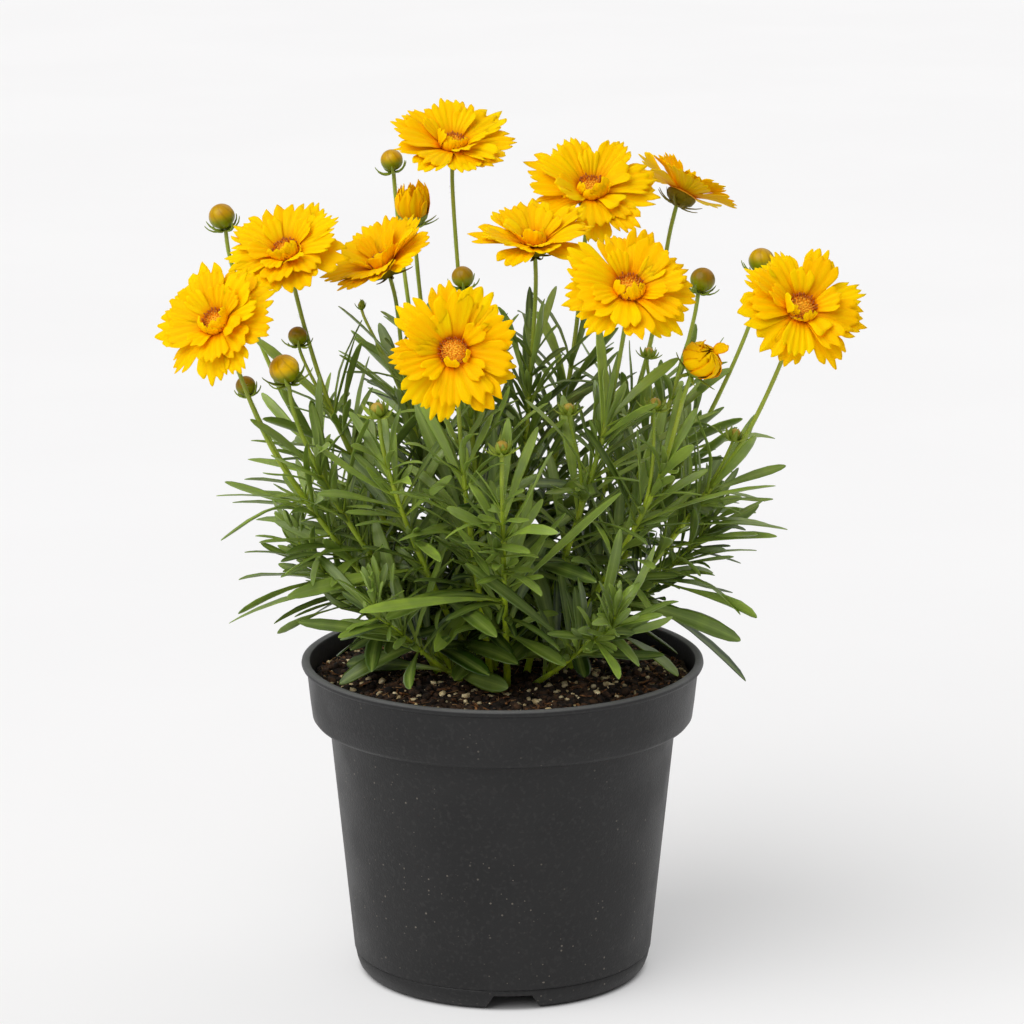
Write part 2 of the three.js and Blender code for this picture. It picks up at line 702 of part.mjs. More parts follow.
// An opening bloom's cup of folded petals, whose pointed tips close over each other.
function cupGeometry({ radius, height }) {
  const base = OPENING_CALYX.height + GAP;
  const rings = CUP_RINGS.map(([out, high]) => [radius * out, Math.max(base, height * high)]);
  const cup = lathe([[0, base], ...rings, [0, height * CUP.middle]], CUP.sides);
  const position = cup.attributes.position;
  const perSpoke = rings.length + 2;
  for (let i = 0; i < position.count; i++) {
    const isTucked = Math.floor(i / perSpoke) % 2 === 1;
    const ring = i % perSpoke;
    const isTip = ring === rings.length;
    if (isTip && !isTucked) position.setZ(i, height);
    if (isTucked && ring > 1 && !isTip) {
      position.setX(i, position.getX(i) * CUP.tucked);
      position.setY(i, position.getY(i) * CUP.tucked);
    }
  }
  return cup;
}

function openingSolid(head) {
  const { radius, height } = head;
  const frame = headFrame(head.at, head.facing);
  const whorl = { ...LOOSE_PETAL, reach: radius * LOOSE_PETAL.reach, lift: height * LOOSE_PETAL.lift };
  const level = OPENING_CALYX.height + GAP + BLOOM.layerStep;
  const petals = Array.from({ length: LOOSE_PETAL.count }, (_, i) => {
    const angle = THREE.MathUtils.degToRad(LOOSE_PETAL.turn + (360 * i) / LOOSE_PETAL.count);
    return placed(petalGeometry(whorl, NARROW_PETAL, angle, level, 0), frame);
  });
  return largestBody(unionOf([placed(cupGeometry(head), frame), ...petals]));
}

function budSolid({ at, facing, radius }) {
  const base = radius * BUD_CUP.height + GAP;
  const rings = BUD_RINGS.map(([out, high]) => [radius * out, base + radius * high]);
  const ball = lathe([[0, base], ...rings, [0, base + radius * BUD.tip]], BUD.sides);
  return placed(ball, headFrame(at, facing));
}

const scaledCup = (cup, size) =>
  Object.fromEntries(Object.entries(cup).map(([key, value]) => [key, value * size]));

// The small cup of a bud, closed over by the bud itself where that is green like its stem.
const budCup = ({ radius }) => ({ ...scaledCup(BUD_CUP, radius), bracts: BUD.bracts });
const greenCup = ({ radius }) => ({
  ...scaledCup(BUD_CUP, radius),
  bracts: GREEN_BUD.bracts,
  above: GREEN_RINGS.map(([out, high]) => [out * radius, high * radius]),
  tip: GREEN_BUD.tip * radius,
});

// ---------------------------------------------------------------- the whole plant

const bloomFoot = (bloom) => new THREE.Vector3().setFromMatrixPosition(headBase(bloom));

// A head given by its middle, moved to its foot.
function standing(head, drop) {
  return { ...head, at: vector(head.at).addScaledVector(unit(head.facing), -drop).toArray() };
}
const OPENING_HEADS = OPENING.map((head) => standing(head, head.height / 2));
const BUD_HEADS = BUDS.map((bud) => ({ ...standing(bud, bud.radius * BUD.middle), cup: budCup(bud) }));
const GREEN_HEADS = GREEN_BUDS.map((bud) => ({
  ...standing(bud, bud.radius * GREEN_BUD.middle),
  cup: greenCup(bud),
}));
const BRANCHES = [...BUD_HEADS, ...GREEN_HEADS].filter((head) => head.on);

// Every stem's head, in one list: blooms, opening blooms, buds, green buds, then young shoots with none.
const HEADS = [
  ...BLOOMS.map((bloom) => ({
    at: bloomFoot(bloom).toArray(),
    facing: bloom.facing,
    cup: { ...scaledCup(BLOOM_CALYX, bloom.size), bracts: BLOOM_CALYX.bracts },
  })),
  ...OPENING_HEADS.map((head) => ({ ...head, cup: OPENING_CALYX })),
  ...[...BUD_HEADS, ...GREEN_HEADS].filter((head) => !head.on),
  ...SHOOTS.map((at) => ({ at, facing: [at[0] * SHOOT_LEAN, at[1] * SHOOT_LEAN, 1] })),
];

// A stem and its head as one skin. A green bud closes over its cup, and a shoot ends in a point.
function stemSolid(rings, { at, facing, cup }, bearing) {
  if (!cup) return loft(rings, { tip: vector(at).addScaledVector(UP, STEM.shootPoint) });
  const head = cupRings(at, facing, bearing, cup);
  const tip = cup.tip ? vector(at).addScaledVector(unit(facing), cup.tip) : null;
  return loft([...rings, ...head], { tip });
}

// The compass bearing square to the way a head leans.
const headBearing = ({ facing }) => Math.atan2(facing[1], facing[0]) + Math.PI / 2;

function growStems(taken) {
  const roots = rootPlaces(HEADS);
  return HEADS.map((head, i) => {
    const bearing = headBearing(head) + spreadRandom(STEM.twist);
    const stem = firstClear(SWAYS, (sway) => {
      const curve = stemCurve(roots[i], vector(head.at), unit(head.facing), sway);
      const rings = (swell) =>
        tubeRings(curve, STEM_STATIONS, STEM.footRadius + swell, STEM.tipRadius + swell, bearing);
      const body = stemSolid(rings(0), head, bearing);
      return { curve, bearing, solids: [body], room: unionOf([body, loft(rings(STEM.room))]) };
    }, taken);
    if (!stem) throw new Error(`no clear way for stem ${i + 1}`);
    stem.name = `stem_${String(i + 1).padStart(2, "0")}`;
    taken.push(withBox(stem.room, stem.name));
    return stem;
  });
}

function addBranches(stems, taken) {
  BRANCHES.forEach((head) => {
    const stem = stems.find(({ name }) => name === head.on);
    const bearing = headBearing(head);
    const rivals = taken.filter((one) => one.owner !== head.on);
    const branch = firstClear(SWAYS, (sway) => {
      const curve = branchCurve(stem, head.from, vector(head.at), unit(head.facing), sway);
      const rings = tubeRings(curve, BRANCH_STATIONS, BRANCH.footRadius, BRANCH.tipRadius, bearing);
      const body = stemSolid(rings, head, bearing);
      return { body, room: body };
    }, rivals);
    if (!branch) throw new Error(`no clear way for the branch on ${head.on}`);
    stem.solids.push(branch.body);
    taken.push(withBox(branch.room, head.on));
  });
}

// Leaf pairs, each pair square to the one below. A leaf that finds no clear way is left off.
function addLeaves(stems, taken) {
  stems.forEach((stem) => {
    const nodes = leafNodes(stem.curve);
    nodes.forEach((node, level) => {
      const shape = leafShape(nodes.length > 1 ? level / (nodes.length - 1) : 0.5);
      for (const half of [0, Math.PI]) {
        const azimuth = Math.PI / 4 + (level * Math.PI) / 2 + half + spreadRandom(LEAF_CHANCE.azimuth);
        const grown = {
          ...shape,
          length: shape.length * (1 + spreadRandom(LEAF_CHANCE.length)),
          spread: shape.spread + spreadRandom(LEAF_CHANCE.spread),
        };
        const rivals = taken.filter((one) => one.owner !== stem.name && one.node !== node);
        const found = clearLeaf(node, stem.bearing, azimuth, grown, rivals);
        if (!found) continue;
        stem.solids.push(found.leaf);
        taken.push({ ...withBox(found.room, "leaf"), node });
      }
    });
  });
}

const MATERIALS = {
  pot: new THREE.MeshStandardMaterial({ color: 0x2e2e30, roughness: 0.6, metalness: 0 }),
  soil: new THREE.MeshStandardMaterial({ color: 0x2c1d12, roughness: 0.95, metalness: 0 }),
  stem: new THREE.MeshStandardMaterial({ color: 0x4f7430, roughness: 0.55, metalness: 0 }),
  petal: new THREE.MeshStandardMaterial({ color: 0xffb400, roughness: 0.6, metalness: 0 }),
  disc: new THREE.MeshStandardMaterial({ color: 0xc77414, roughness: 0.75, metalness: 0 }),
  bud: new THREE.MeshStandardMaterial({ color: 0xa08a1c, roughness: 0.55, metalness: 0 }),
};

function named(name, solid, material) {
  const mesh = new THREE.Mesh(geometryOf(solid), MATERIALS[material]);
  mesh.name = name;
  return mesh;
}

// A plain hole in the soil for each stem, square like it and a little wider.
function stemHole({ curve, bearing }) {
  const radius = STEM.footRadius + 2 * GAP;
  const rings = tubeRings(curve, STEM_STATIONS.slice(0, 3), radius, radius, bearing);
  return loft([rings[0].map((corner) => corner.clone().addScaledVector(UP, -GAP)), ...rings]);
}

function plant() {
  const pot = potSolid();
  const heads = [
    ...BLOOMS.flatMap((bloom) => [
      { name: `petals_${bloom.name}`, solid: petalsSolid(bloom), material: "petal" },
      { name: `disc_${bloom.name}`, solid: discSolid(bloom), material: "disc" },
    ]),
    ...OPENING_HEADS.map((head) => ({ name: head.name, solid: openingSolid(head), material: "petal" })),
    ...BUD_HEADS.map((bud) => ({ name: bud.name, solid: budSolid(bud), material: "bud" })),
  ];
  const taken = [pot, ...heads.map(({ solid }) => solid)].map((solid) => withBox(solid, "holder"));
  const stems = growStems(taken);
  const soil = largestBody(soilSolid().subtract(unionOf(stems.map(stemHole))));
  taken.push(withBox(soil, "soil"));
  addBranches(stems, taken);
  addLeaves(stems, taken);

  const group = new THREE.Group();
  group.add(named("pot", pot, "pot"), named("soil", soil, "soil"));
  heads.forEach(({ name, solid, material }) => group.add(named(name, solid, material)));
  stems.forEach(({ name, solids }) => group.add(named(name, largestBody(unionOf(solids)), "stem")));
  return group;
}

export default plant();
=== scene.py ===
# %% [markdown]
# # A potted coreopsis, dressed
#
# The plant is a semi-double golden tickseed in a round plastic nursery pot. Its solids come packed, as a
# fixed frame: a pot, its soil, leafy stems, rings of petals, discs and buds. This lesson dresses them. Each
# faceted solid is replaced by finer pieces that keep its form, and the small things are added: florets,
# crumbs of soil, hairs, more leaves, and every finish. Lengths are in millimetres until a mesh is made.

# %% Load the frame and keep its size
import math
import random

import bpy
import numpy as np
from mathutils import Matrix, Vector, noise


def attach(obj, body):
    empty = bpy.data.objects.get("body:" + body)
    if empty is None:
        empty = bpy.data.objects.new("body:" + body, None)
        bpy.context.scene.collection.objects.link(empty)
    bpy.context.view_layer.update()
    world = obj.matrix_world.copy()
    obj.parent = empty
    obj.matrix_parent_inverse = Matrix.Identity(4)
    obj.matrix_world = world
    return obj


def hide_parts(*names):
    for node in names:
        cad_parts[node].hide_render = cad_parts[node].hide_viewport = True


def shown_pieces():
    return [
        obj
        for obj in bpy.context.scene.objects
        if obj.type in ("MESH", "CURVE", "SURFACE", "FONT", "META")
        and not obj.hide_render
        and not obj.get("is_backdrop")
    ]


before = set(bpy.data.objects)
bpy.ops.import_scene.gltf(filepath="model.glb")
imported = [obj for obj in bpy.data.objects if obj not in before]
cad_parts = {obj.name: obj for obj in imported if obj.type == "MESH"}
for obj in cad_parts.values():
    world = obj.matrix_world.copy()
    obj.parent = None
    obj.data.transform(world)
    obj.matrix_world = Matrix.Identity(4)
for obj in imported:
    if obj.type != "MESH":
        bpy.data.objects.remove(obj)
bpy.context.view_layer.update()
MM = 0.001
print("nodes in the frame:", len(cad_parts))

# %% [markdown]
# ## Small tools
#
# An operator acts on whatever is selected, so each piece starts with nothing selected. A piece's points are
# handled as one table of numbers, which is the quick way to shape hundreds of petals and leaves.

# %% Tools for selecting, shaping and finishing
UP = np.array([0.0, 0.0, 1.0])


def add_object(name, data):
    thing = bpy.data.objects.new(name, data)
    bpy.context.scene.collection.objects.link(thing)
    return thing


def deselect():
    if bpy.context.mode != "OBJECT":
        bpy.ops.object.mode_set(mode="OBJECT")
    bpy.ops.object.select_all(action="DESELECT")


def select(piece):
    deselect()
    piece.select_set(True)
    bpy.context.view_layer.objects.active = piece


def edit(piece):
    """Starts edit mode on one piece, all of it selected."""
    select(piece)
    bpy.ops.object.mode_set(mode="EDIT")
    bpy.ops.mesh.select_mode(type="VERT")
    bpy.ops.mesh.select_all(action="SELECT")


def points_of(piece):
    points = np.empty(len(piece.data.vertices) * 3)
    piece.data.vertices.foreach_get("co", points)
    return points.reshape(-1, 3)


def set_points(piece, points):
    piece.data.vertices.foreach_set("co", np.asarray(points, float).ravel())
    piece.data.update()


def apply_modifier(piece, kind, **settings):
    modifier = piece.modifiers.new(kind.title(), kind)
    for name, value in settings.items():
        setattr(modifier, name, value)
    bpy.context.view_layer.objects.active = piece
    bpy.ops.object.modifier_apply(modifier=modifier.name)


def smooth(piece, degrees):
    select(piece)
    bpy.ops.object.shade_smooth_by_angle(angle=math.radians(degrees))


def put(piece, material, slot, *nodes):
    """Gives a finished piece its finish and hides the solids that it stands for. Its slot is not used."""
    piece.data.materials.clear()
    piece.data.materials.append(material)
    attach(piece, "root")
    if nodes:
        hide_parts(*nodes)


def unit(vector):
    vector = np.asarray(vector, float)
    return vector / np.linalg.norm(vector)


def mix(a, b, share):
    return a + (b - a) * share


def share_between(value, low, high):
    """How far a value has come on its way from low to high: 0 to 1."""
    return min(1.0, max(0.0, (value - low) / (high - low)))


def outward(angle):
    return np.array([math.cos(angle), math.sin(angle), 0])


print("the unit of (3, 4, 0):", unit((3, 4, 0)))

# %% [markdown]
# ## A camera and soft light
#
# The plant is looked at from a little above, through a long lens, as if from across a small room. Light
# comes from everywhere, as in a white tent, and more of it from the upper left. Area lamps would light the
# floor unevenly, so both lamps are suns, made so wide that their shadows are soft.

# %% Camera, air and lamps
CAMERA = {"place": (4.0, -1681.65, 596.23), "down": 13.3, "lens": 144.8, "sensor": 36.0}
AIR = {"Color": (0.99, 0.99, 1.0, 1), "Strength": 0.4}
LAMPS = {
    "key": {"place": (-1.3, -1.3, 2.0), "width": 62, "power": 2.45},
    "back": {"place": (0.9, 1.4, 1.6), "width": 60, "power": 0.5},
}


def add_camera():
    data = bpy.data.cameras.new("camera")
    data.lens = CAMERA["lens"]
    data.sensor_width = CAMERA["sensor"]
    camera = add_object("camera", data)
    camera.location = Vector(CAMERA["place"]) * MM
    camera.rotation_euler = (math.radians(90 - CAMERA["down"]), 0, 0)
    bpy.context.scene.camera = camera


def add_lamp(name, place, width, power):
    data = bpy.data.lights.new(name, "SUN")
    data.angle = math.radians(width)
    data.energy = power
    lamp = add_object(name, data)
    lamp.location = place
    lamp.rotation_mode = "QUATERNION"
    lamp.rotation_quaternion = (-Vector(place)).to_track_quat("-Z", "Y")


def add_air():
    world = bpy.data.worlds.new("air")
    world.use_nodes = True
    for label, value in AIR.items():
        world.node_tree.nodes["Background"].inputs[label].default_value = value
    bpy.context.scene.world = world


add_camera()
add_air()
for lamp_name, lamp in LAMPS.items():
    add_lamp(lamp_name, **lamp)
bpy.context.scene.view_settings.view_transform = "Standard"
bpy.context.scene.view_settings.look = "None"
print("camera, air and", len(LAMPS), "lamps")

# %% [markdown]
# ## Masters and copies
#
# What repeats is modelled once, as a master, and copied. A master is drawn flat: its x runs along the blade
# from 0 to 1, its y across it from -1 to 1, and its z is its height. Each copy is laid on an arc of its own,
# the way a real petal or leaf arches over. It keeps the master's flat numbers as an attribute named "blade",
# so that veins and shading can follow the blade, and has a "tone" from 0 to 1, which its finish reads.

# %% One mesh out of many copies
LEAST_BEND = 1e-4
SEEDS = {
    "petals": (7, 3),
    "disc": (11, 5),
    "leaves": (13, 1),
    "cup": (17, 2),
    "bud": (19, 4),
    "green bud": (23, 4),
    "opening": (29, 6),
    "small cup": (31, 6),
}


def chance_of(kind, number):
    """The seeded chance of one numbered piece."""
    step, first = SEEDS[kind]
    return random.Random(int(number) * step + first)


def master_of(piece, flat=None):
    """The shape of a finished master as numbers. The master itself is taken away again."""
    points = points_of(piece)
    faces = [tuple(face.vertices) for face in piece.data.polygons]
    bpy.data.objects.remove(piece)
    return {"points": points, "faces": faces, "flat": points if flat is None else flat}


def gather(name, copies):
    """One piece from many copies, each given as its master, its points in millimetres and its tone."""
    faces = []
    start = 0
    for master, points, _ in copies:
        faces += [[start + corner for corner in face] for face in master["faces"]]
        start += len(points)
    mesh = bpy.data.meshes.new(name)
    everywhere = np.vstack([points for _, points, _ in copies]) * MM
    mesh.from_pydata(everywhere.tolist(), [], faces)
    blade = mesh.attributes.new("blade", "FLOAT_VECTOR", "POINT")
    flats = np.vstack([master["flat"] for master, _, _ in copies])
    blade.data.foreach_set("vector", flats.astype(np.float32).ravel())
    tone = mesh.attributes.new("tone", "FLOAT", "POINT")
    tones = np.concatenate([np.full(len(points), share) for _, points, share in copies])
    tone.data.foreach_set("value", tones.astype(np.float32))
    mesh.shade_smooth()
    return add_object(name, mesh)


def not_straight(bend):
    """A bend that may be divided by."""
    return bend if abs(bend) > LEAST_BEND else LEAST_BEND


def on_arc(points, root, heading, below, length, bend):
    """Lays flat points on an arc that starts at a root, and turns by its bend from heading to below."""
    turn = not_straight(bend)
    along, across, high = points.T
    angle = (turn * along)[:, None]
    wide = np.cross(heading, below)
    line = root + (heading * np.sin(angle) + below * (1 - np.cos(angle))) * (length / turn)
    down = below * np.cos(angle) - heading * np.sin(angle)
    return line + wide * across[:, None] - down * high[:, None]


def raised(points, root, angle, rise, length, bend):
    """Flat points on an arc that leaves an upright axis at an angle, raised from level by `rise`."""
    out = outward(angle)
    heading = out * math.cos(rise) + UP * math.sin(rise)
    below = out * math.sin(rise) - UP * math.cos(rise)
    return on_arc(points, root, heading, below, length, bend)


print("kinds of seeded pieces:", len(SEEDS))

# %% [markdown]
# ## The heads of the plant
#
# Blooms, opening blooms and buds stand where the frame has them. Each is given by its middle, the way it
# faces and its size, so that finer pieces can be built in the head's own upright frame, with +Z the way it
# faces, and then set in place. A bloom also has its turn on its stalk, its number of curled petals, and how
# far its petals are lifted and spread, and how far it nods. A bud on a side branch names its stem, and where
# along the stem its branch starts. One that is shut has the angle at which its outer bracts stand.

# %% Where the heads stand
BLOOMS = {
    "01": {"at": (-21, 45, 350), "facing": (0.02, -0.4, 0.91), "size": 0.95, "turn": 5, "curls": 5,
           "lift": 8, "spread": 1.08, "nod": 0.06},
    "02": {"at": (38, 40, 331), "facing": (0.14, -0.64, 0.76), "size": 1.04, "turn": 20, "curls": 6},
    "03": {"at": (79, 75, 325), "facing": (0.46, 0.26, 0.85), "size": 0.9, "turn": 10, "curls": 3,
           "lift": 10},
    "04": {"at": (-90, -5, 312), "facing": (-0.22, -0.62, 0.75), "size": 0.93, "turn": 35, "curls": 6},
    "05": {"at": (-51, 10, 305), "facing": (-0.42, -0.34, 0.84), "size": 0.9, "turn": 0, "curls": 6,
           "lift": 10, "spread": 1.04},
    "06": {"at": (13, 1, 316), "facing": (-0.06, -0.2, 0.97), "size": 0.86, "turn": 15, "curls": 6,
           "lift": 17, "spread": 1.1, "nod": 0.14},
    "07": {"at": (51, -65, 307), "facing": (0.08, -0.74, 0.67), "size": 1.0, "turn": 28, "curls": 4},
    "08": {"at": (122, -40, 294), "facing": (0.24, -0.8, 0.55), "size": 0.99, "turn": 12, "curls": 5},
    "09": {"at": (-116, -55, 291), "facing": (-0.4, -0.72, 0.57), "size": 0.94, "turn": 40, "curls": 6},
    "10": {"at": (-19, -95, 286), "facing": (-0.05, -0.95, 0.3), "size": 0.98, "turn": 22, "curls": 2},
}  # fmt: skip
OPENINGS = {
    "01": {"at": (-38, 50, 320), "facing": (-0.08, -0.1, 0.99), "radius": 6.9, "height": 17},
    "02": {"at": (80, -60, 275), "facing": (0.5, -0.45, 0.74), "radius": 8.0, "height": 15},
}
BUDS = {
    "01": {"at": (-119, 45, 317), "facing": (-0.25, -0.1, 0.96), "radius": 5.6, "ripe": 0.6},
    "02": {"at": (-48, 85, 335), "facing": (-0.15, 0, 0.99), "radius": 4.9, "ripe": 0.7},
    "03": {"at": (-16, -40, 306), "facing": (-0.1, -0.1, 0.99), "radius": 4.5, "ripe": 0.25},
    "04": {"at": (84, 21, 294), "facing": (0.3, -0.1, 0.95), "radius": 5.3, "ripe": 0.15},
    "05": {"at": (110, 45, 298), "facing": (0.15, 0, 0.99), "radius": 5.6, "ripe": 0.6},
    "06": {"at": (-88, -50, 270), "facing": (-0.25, -0.25, 0.93), "radius": 6.2, "ripe": 1.0},
    "07": {"at": (-85, 0, 274), "facing": (-0.1, 0, 0.99), "radius": 4.1, "ripe": 0.1,
           "on": "04", "from": 0.55},
    "08": {"at": (-106, -15, 256), "facing": (-0.3, 0, 0.95), "radius": 4.2, "ripe": 0.15,
           "on": "09", "from": 0.5},
}  # fmt: skip
GREEN_BUDS = {
    "01": {"at": (-50, -70, 258), "facing": (-0.2, -0.2, 0.96), "radius": 3.9},
    "02": {"at": (0, -95, 248), "facing": (0, -0.2, 0.98), "radius": 3.6},
    "03": {"at": (27, -50, 254), "facing": (0, -0.1, 0.99), "radius": 3.0, "on": "07", "from": 0.45},
    "04": {"at": (62, -50, 256), "facing": (0.1, -0.1, 0.98), "radius": 3.4, "on": "12", "from": 0.55},
    "05": {"at": (96, -25, 238), "facing": (0.3, 0, 0.95), "radius": 3.3, "on": "08", "from": 0.45},
    "06": {"at": (61, 2, 267), "facing": (0.2, 0, 0.97), "radius": 2.9, "on": "16", "from": 0.55},
    "07": {"at": (-60, 38, 280), "facing": (-0.1, 0, 0.99), "radius": 1.9, "on": "05", "from": 0.6,
           "shut": 58},
}  # fmt: skip
SHOOTS = {
    "21": (-86, -14, 196),
    "22": (-66, 62, 202),
    "23": (86, -12, 204),
    "24": (66, 66, 204),
    "25": (-52, -74, 184),
    "26": (46, -78, 180),
    "27": (0, 92, 200),
}
SHOOT_LEAN = 0.006
CUP_HEIGHT = 5.6
RING_HEIGHT = 2.0
DISC_RISE = 2.6
BUD_MIDDLE = 1.1
GREEN_MIDDLE = 1.0
FRONT_AND_DOWN = (0, -1, -0.35)


def set_feet(heads, drop):
    """Gives each head its foot, which lies behind its middle by a drop that depends on its size."""
    for head in heads.values():
        head["foot"] = np.array(head["at"]) - unit(head["facing"]) * drop(head)


set_feet(BLOOMS, lambda head: (CUP_HEIGHT + RING_HEIGHT + DISC_RISE) * head["size"])
set_feet(OPENINGS, lambda head: head["height"] / 2)
set_feet(BUDS, lambda head: head["radius"] * BUD_MIDDLE)
set_feet(GREEN_BUDS, lambda head: head["radius"] * GREEN_MIDDLE)


def head_axes(head):
    """The directions of a head's own X, Y and Z."""
    direction = unit(np.array(head["facing"]) - (0, head.get("nod", 0), 0))
    u = unit(np.cross(UP, direction))
    v = np.cross(direction, u)
    turn = math.radians(head.get("turn", 0))
    x = u * math.cos(turn) + v * math.sin(turn)
    y = v * math.cos(turn) - u * math.sin(turn)
    return np.array([x, y, direction])


def in_place(head, points):
    """Points of a head's own upright frame, set where the head stands."""
    return head["foot"] + head.get("size", 1) * (points @ head_axes(head))


def front_angle(head):
    """The angle, in a head's own frame, of its side that is nearest the plant's front and lowest."""
    x, y, _ = head_axes(head) @ np.array(FRONT_AND_DOWN)
    return math.atan2(y, x)


print(len(BLOOMS), "blooms,", len(OPENINGS), "opening,", len(BUDS), "buds,", len(GREEN_BUDS), "green buds")

# %% [markdown]
# ## Finishes
#
# A finish is a Principled shader fed by a small network. Two effects are used by several finishes, so they
# are node groups: "mottle" mixes two colours in soft blotches, and "grain" is a bump of fine uneven height.

# %% Tools for materials
def rgb(red, green, blue):
    return (red, green, blue, 1)


def add_node(tree, kind, settings=None, **inputs):
    """A node with its settings. Each input is a plain value or a socket, and `_0` names the first one."""
    node = tree.nodes.new(kind)
    for name, value in (settings or {}).items():
        setattr(node, name, value)
    for name, value in inputs.items():
        socket = node.inputs[int(name[1:])] if name[0] == "_" else node.inputs[name.replace("_", " ")]
        if isinstance(value, bpy.types.NodeSocket):
            tree.links.new(value, socket)
        else:
            socket.default_value = value
    return node


def blend_colours(tree, share, first, second, kind="MIX"):
    settings = {"data_type": "RGBA", "blend_type": kind}
    return add_node(tree, "ShaderNodeMix", settings, _0=share, _6=first, _7=second).outputs[2]


def tinted(tree, colour, *tints):
    """A colour with tints laid over it in turn, each by its share."""
    for share, tint in tints:
        colour = blend_colours(tree, share, colour, tint)
    return colour


def ramp(tree, value, low, high, most=1.0):
    """A share that goes from 0 to `most` as a value goes from low to high."""
    settings = {"interpolation_type": "SMOOTHSTEP"}
    limits = {"From_Min": low, "From_Max": high, "To_Max": most}
    return add_node(tree, "ShaderNodeMapRange", settings, Value=value, **limits).outputs["Result"]


def spread_out(tree, share, low, high):
    """A share of 0 to 1, as a value from low to high."""
    return add_node(tree, "ShaderNodeMapRange", Value=share, To_Min=low, To_Max=high).outputs["Result"]


def math_of(tree, operation, first, second=0.0):
    return add_node(tree, "ShaderNodeMath", {"operation": operation}, _0=first, _1=second).outputs[0]


def times(tree, first, second):
    return math_of(tree, "MULTIPLY", first, second)


def noise_of(tree, place, scale, detail=2.0):
    return add_node(tree, "ShaderNodeTexNoise", Vector=place, Scale=scale, Detail=detail).outputs["Fac"]


def bump_of(tree, height, strength, millimetres):
    bump = add_node(tree, "ShaderNodeBump", Height=height, Strength=strength, Distance=millimetres * MM)
    return bump.outputs["Normal"]


def object_place(tree):
    return add_node(tree, "ShaderNodeTexCoord").outputs["Object"]


def attribute_of(tree, name, output):
    return add_node(tree, "ShaderNodeAttribute", {"attribute_name": name}).outputs[output]


def tone_of(tree):
    return attribute_of(tree, "tone", "Fac")


def blade_of(tree):
    """Where a point is on its flat master: along it, across it, and the master's third number."""
    return add_node(tree, "ShaderNodeSeparateXYZ", Vector=attribute_of(tree, "blade", "Vector")).outputs


def veins_of(tree, along, across, third=0.0):
    """Lines along a blade: noise whose numbers are stretched along it and squeezed across it."""
    place = add_node(tree, "ShaderNodeCombineXYZ", X=along, Y=across, Z=third)
    return noise_of(tree, place.outputs[0], 1.0, 3.0)


def new_finish(name, **sockets):
    """A material with its Principled shader's plain values set on the shader's own sockets."""
    material = bpy.data.materials.new(name)
    material.use_nodes = True
    shader = material.node_tree.nodes["Principled BSDF"]
    for label, value in sockets.items():
        shader.inputs[label.replace("_", " ")].default_value = value
    return material, material.node_tree, shader


def scatter(weight, *reach):
    """How light spreads below a thin skin: its share, and its reach in millimetres for each colour."""
    return {"Subsurface_Weight": weight, "Subsurface_Radius": reach, "Subsurface_Scale": MM}


def show(tree, shader, colour, normal):
    tree.links.new(colour, shader.inputs["Base Color"])
    tree.links.new(normal, shader.inputs["Normal"])


print("finishes before the first one is made:", len(bpy.data.materials))

# %% The two shared groups
def new_group(name, inputs, outputs):
    """An empty group. Each input has its kind and its value, and each output its kind."""
    group = bpy.data.node_groups.new(name, "ShaderNodeTree")
    for label, (kind, value) in inputs.items():
        socket = group.interface.new_socket(label, in_out="INPUT", socket_type="NodeSocket" + kind)
        if value is not None:
            socket.default_value = value
    for label, kind in outputs.items():
        group.interface.new_socket(label, in_out="OUTPUT", socket_type="NodeSocket" + kind)
    return group, group.nodes.new("NodeGroupInput").outputs, group.nodes.new("NodeGroupOutput").inputs


def make_mottle():
    inputs = {
        "Vector": ("Vector", None),
        "Colour 1": ("Color", None),
        "Colour 2": ("Color", None),
        "Scale": ("Float", 100.0),
    }
    group, given, out = new_group("mottle", inputs, {"Colour": "Color", "Mask": "Float"})
    mask = ramp(group, noise_of(group, given["Vector"], given["Scale"], 4.0), 0.38, 0.64)
    group.links.new(blend_colours(group, mask, given["Colour 1"], given["Colour 2"]), out["Colour"])
    group.links.new(mask, out["Mask"])
    return group


def make_grain():
    inputs = {"Vector": ("Vector", None), "Scale": ("Float", 1000.0), "Depth": ("Float", 0.1)}
    group, given, out = new_group("grain", inputs, {"Normal": "Vector"})
    height = noise_of(group, given["Vector"], given["Scale"], 5.0)
    group.links.new(bump_of(group, height, given["Depth"], 0.5), out["Normal"])
    return group


MOTTLE = make_mottle()
GRAIN = make_grain()


def mottled(tree, place, scale, first, second):
    """Two colours in soft blotches, and where the second one is."""
    inputs = {"Vector": place, "Scale": scale, "Colour_1": first, "Colour_2": second}
    group = add_node(tree, "ShaderNodeGroup", {"node_tree": MOTTLE}, **inputs)
    return group.outputs["Colour"], group.outputs["Mask"]


def grained(tree, place, scale, depth):
    """The normal of a fine uneven surface."""
    inputs = {"Vector": place, "Scale": scale, "Depth": depth}
    return add_node(tree, "ShaderNodeGroup", {"node_tree": GRAIN}, **inputs).outputs["Normal"]


print("shared groups:", MOTTLE.name, GRAIN.name)

# %% [markdown]
# ## The pot
#
# A nursery pot is one thin moulding: a tapered body, a rounded step out to a deep rim band, a rolled lip, and
# a stepped base with drainage channels. It could be cut from a cylinder, but every level of it is round, so
# its outline is drawn once and spun. The channels are cut out of it afterwards, as wedges.

